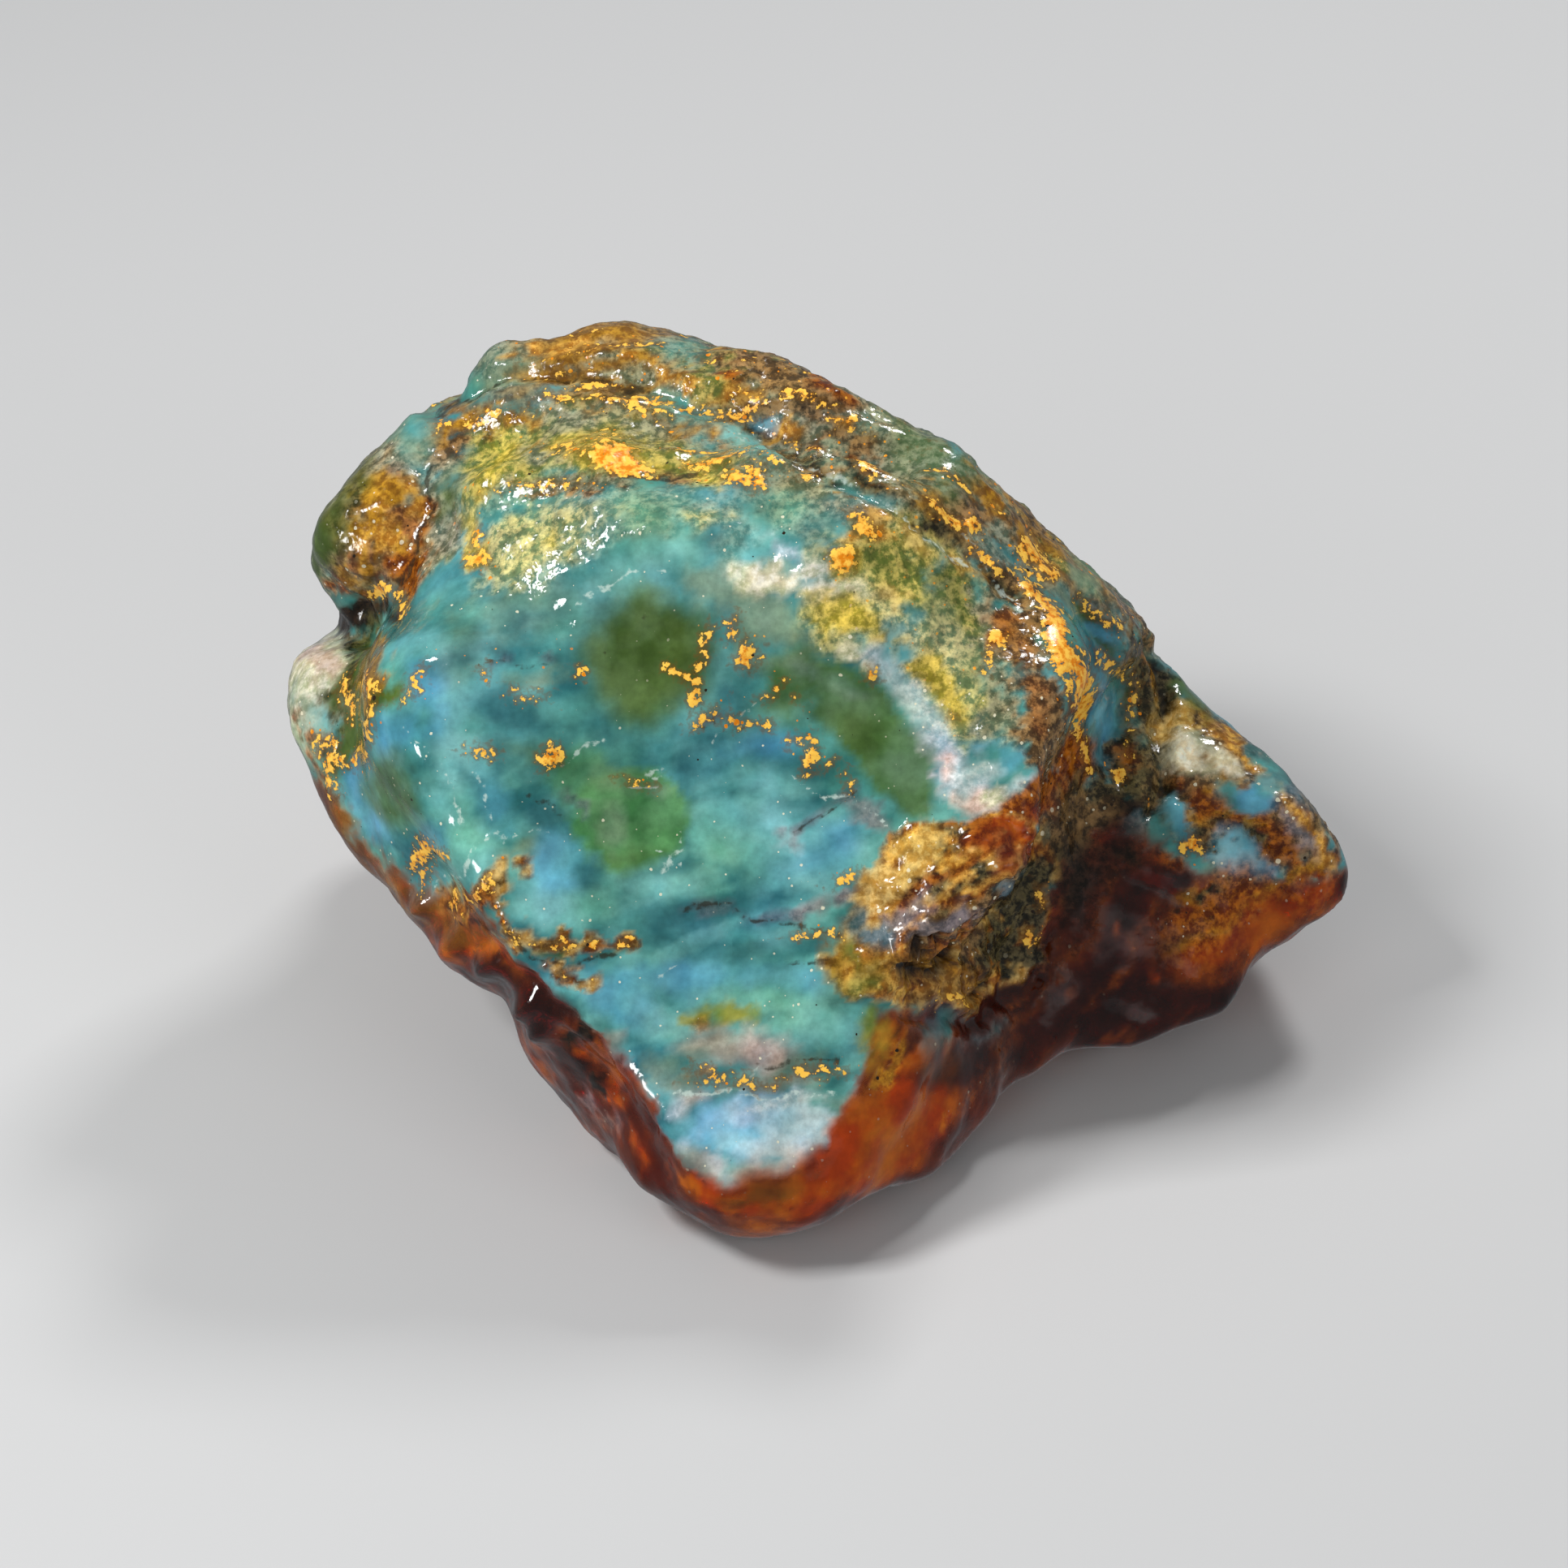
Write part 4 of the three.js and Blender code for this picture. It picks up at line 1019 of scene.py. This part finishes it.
# The two colours mingle in soft clouds where it is smooth, and in crisp grains where it is coarse.
grit = clouds(length=0.6, detail=4, roughness=0.68)
cloud = clouds(length=2.6, detail=3)
mingling = node("Mix", {0: grade(is_coarse, 0.1, 0.4), 2: cloud, 3: grit}).outputs[0]
spread = arith("MULTIPLY_ADD", is_coarse, -0.09, 0.17)
mingled = grade(mingling, arith("SUBTRACT", 0.51, spread), arith("ADD", 0.51, spread))
colour = mix(mingled, attribute("tint", "Color"), attribute("grains", "Color"))
ragged = clouds(length=0.42, detail=3, roughness=0.6)
ragged_swing = arith("SUBTRACT", ragged, 0.5)
shade = arith("MULTIPLY_ADD", ragged_swing, arith("MULTIPLY_ADD", is_coarse, 1.8, 0.45), 1.0)
colour = node("VectorMath", {0: colour, "Scale": shade}, operation="SCALE").outputs[0]

# Pale cracks and dark seams, broken by noise.
wander = arith("MULTIPLY", ragged_swing, 0.5)
is_pale = grade(arith("ADD", attribute("pale"), wander), -0.06, 0.06)
is_dark = grade(arith("ADD", attribute("dark"), wander), -0.08, 0.08)
colour = mix(arith("MULTIPLY", is_pale, 0.6), colour, PALE_CRACK)
colour = mix(arith("MULTIPLY", is_dark, 0.8), colour, DARK_SEAM)

# Gold, with ragged brown edges.
gold_depth = attribute("gold")
gold_edge = arith("MULTIPLY_ADD", ragged_swing, 2.0, gold_depth)
is_gold = grade(gold_edge, -0.03, 0.06)
colour = mix(grade(gold_edge, -0.5, -0.05, 0.0, 0.55), colour, GOLD_RIM)

# Specks: crumbs of gold near the gold, pale dust that also serves as painted glints, and black soot all
# over.
specks = node("TexVoronoi", {"Vector": mm, "Scale": 1 / SPECK_SPACING})
draw = node("SeparateColor", {0: specks.outputs["Color"]}).outputs
# Pale specks are larger on coarse parts, where they stand in as painted glints.
dust_and_glint_size = arith("MULTIPLY_ADD", is_coarse, 0.22, 0.16)
crumb_size = grade(gold_depth, -0.9, 0.0, 0.0, 0.4)
largest = arith("MAXIMUM", dust_and_glint_size, crumb_size)
speck_size = arith("MULTIPLY", arith("MULTIPLY", draw[0], draw[2]), largest)
is_speck = arith("LESS_THAN", arith("ADD", specks.outputs["Distance"], wander), speck_size)
is_soot = arith("MULTIPLY", is_speck, arith("GREATER_THAN", draw[1], 0.92))
off_gold = grade(gold_depth, -1.0, -0.7, 0.8, 0.0)
is_dust_and_glint = arith("MULTIPLY", arith("MULTIPLY", is_speck, attribute("dust_and_glint_amount")), off_gold)
is_gold = arith("MAXIMUM", is_gold, arith("MULTIPLY", is_speck, grade(gold_depth, -0.9, -0.6)))
# Gold runs from orange to yellow; the yellow also stands in as painted highlights on it.
gold_colour = mix(grade(ragged, 0.4, 0.62), ORANGE_GOLD, YELLOW_GOLD_AND_HIGHLIGHT)
colour = mix(is_dust_and_glint, colour, DUST_AND_GLINT)
colour = mix(is_gold, colour, gold_colour)
colour = mix(is_soot, colour, SOOT)

# Wet gloss, duller on grains and gold.
gloss = arith("MULTIPLY_ADD", is_coarse, 0.1, grade(cloud, 0.3, 0.7, 0.05, 0.12))
pebbles = clouds(length=0.7, detail=2)
bump_height = arith("MULTIPLY", pebbles, arith("MULTIPLY_ADD", is_coarse, 0.9, 0.1))
bump = node("Bump", {"Height": bump_height, "Distance": BUMP_DEPTH * MM})
shader = node("BsdfPrincipled", {
    "Base Color": colour,
    "Roughness": arith("MULTIPLY_ADD", is_gold, 0.12, gloss),
    "IOR": AMBER_IOR,
    "Specular IOR Level": 0.3,
    "Transmission Weight": arith("MULTIPLY", attribute("clear"), arith("SUBTRACT", 1.0, is_gold)),
    "Normal": bump.outputs[0],
})
absorption = node("VolumeAbsorption", {"Color": AMBER_LIGHT, "Density": AMBER_DENSITY})
node("OutputMaterial", {"Surface": shader.outputs[0], "Volume": absorption.outputs[0]})
mesh.materials.append(material)

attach(skin, "root")
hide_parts("amber")

# ---- Floor and lights

FLOOR = 3.0  # metres from its middle to its edges
FLOOR_GREY = (0.55, 0.55, 0.55, 1)
FLOOR_ROUGHNESS = 0.8
SKY_COLOUR = (0.8, 0.83, 0.86, 1)
SKY_STRENGTH = 0.25

floor_corners = [(-FLOOR, -FLOOR, 0), (FLOOR, -FLOOR, 0), (FLOOR, FLOOR, 0), (-FLOOR, FLOOR, 0)]
floor_mesh = bpy.data.meshes.new("floor")
floor_mesh.from_pydata(floor_corners, [], [(0, 1, 2, 3)])
floor = bpy.data.objects.new("floor", floor_mesh)
scene.collection.objects.link(floor)
floor_material = bpy.data.materials.new("floor")
floor_material.use_nodes = True
floor_shader = floor_material.node_tree.nodes["Principled BSDF"]
floor_shader.inputs["Base Color"].default_value = FLOOR_GREY
floor_shader.inputs["Roughness"].default_value = FLOOR_ROUGHNESS
floor_mesh.materials.append(floor_material)
floor.visible_glossy = False  # else it lays a grey veil over the dark amber

world = bpy.data.worlds.new("studio")
scene.world = world
world.use_nodes = True
background = world.node_tree.nodes["Background"]
background.inputs["Color"].default_value = SKY_COLOUR
background.inputs["Strength"].default_value = SKY_STRENGTH


def softbox(name, direction, distance, width, watts, mirrored=True, spreads=True):
    """A square light that looks at the nodule. It makes highlights if mirrored, shading if it spreads."""
    data = bpy.data.lights.new(name, "AREA")
    data.size = width * MM
    data.energy = watts
    lamp = bpy.data.objects.new(name, data)
    scene.collection.objects.link(lamp)
    towards = Vector(direction).normalized()
    lamp.location = hub + towards * distance * MM
    lamp.rotation_mode = "QUATERNION"
    lamp.rotation_quaternion = towards.to_track_quat("Z", "Y")
    lamp.visible_glossy = mirrored
    lamp.visible_diffuse = spreads
    lamp.visible_camera = False


softbox("key", (-0.62, -0.2, 0.76), distance=300, width=70, watts=0.66)
softbox("back", (0.35, 0.55, 0.75), distance=300, width=60, watts=0.42)
softbox("glint", (-0.85, -0.5, 0.06), distance=300, width=54, watts=0.3, spreads=False)
softbox("fill left", (-0.45, -1, 0.55), distance=350, width=160, watts=0.2, mirrored=False)
softbox("fill right", (0.7, -0.8, 0.5), distance=350, width=160, watts=0.24, mirrored=False)

scene.view_settings.view_transform = "Standard"
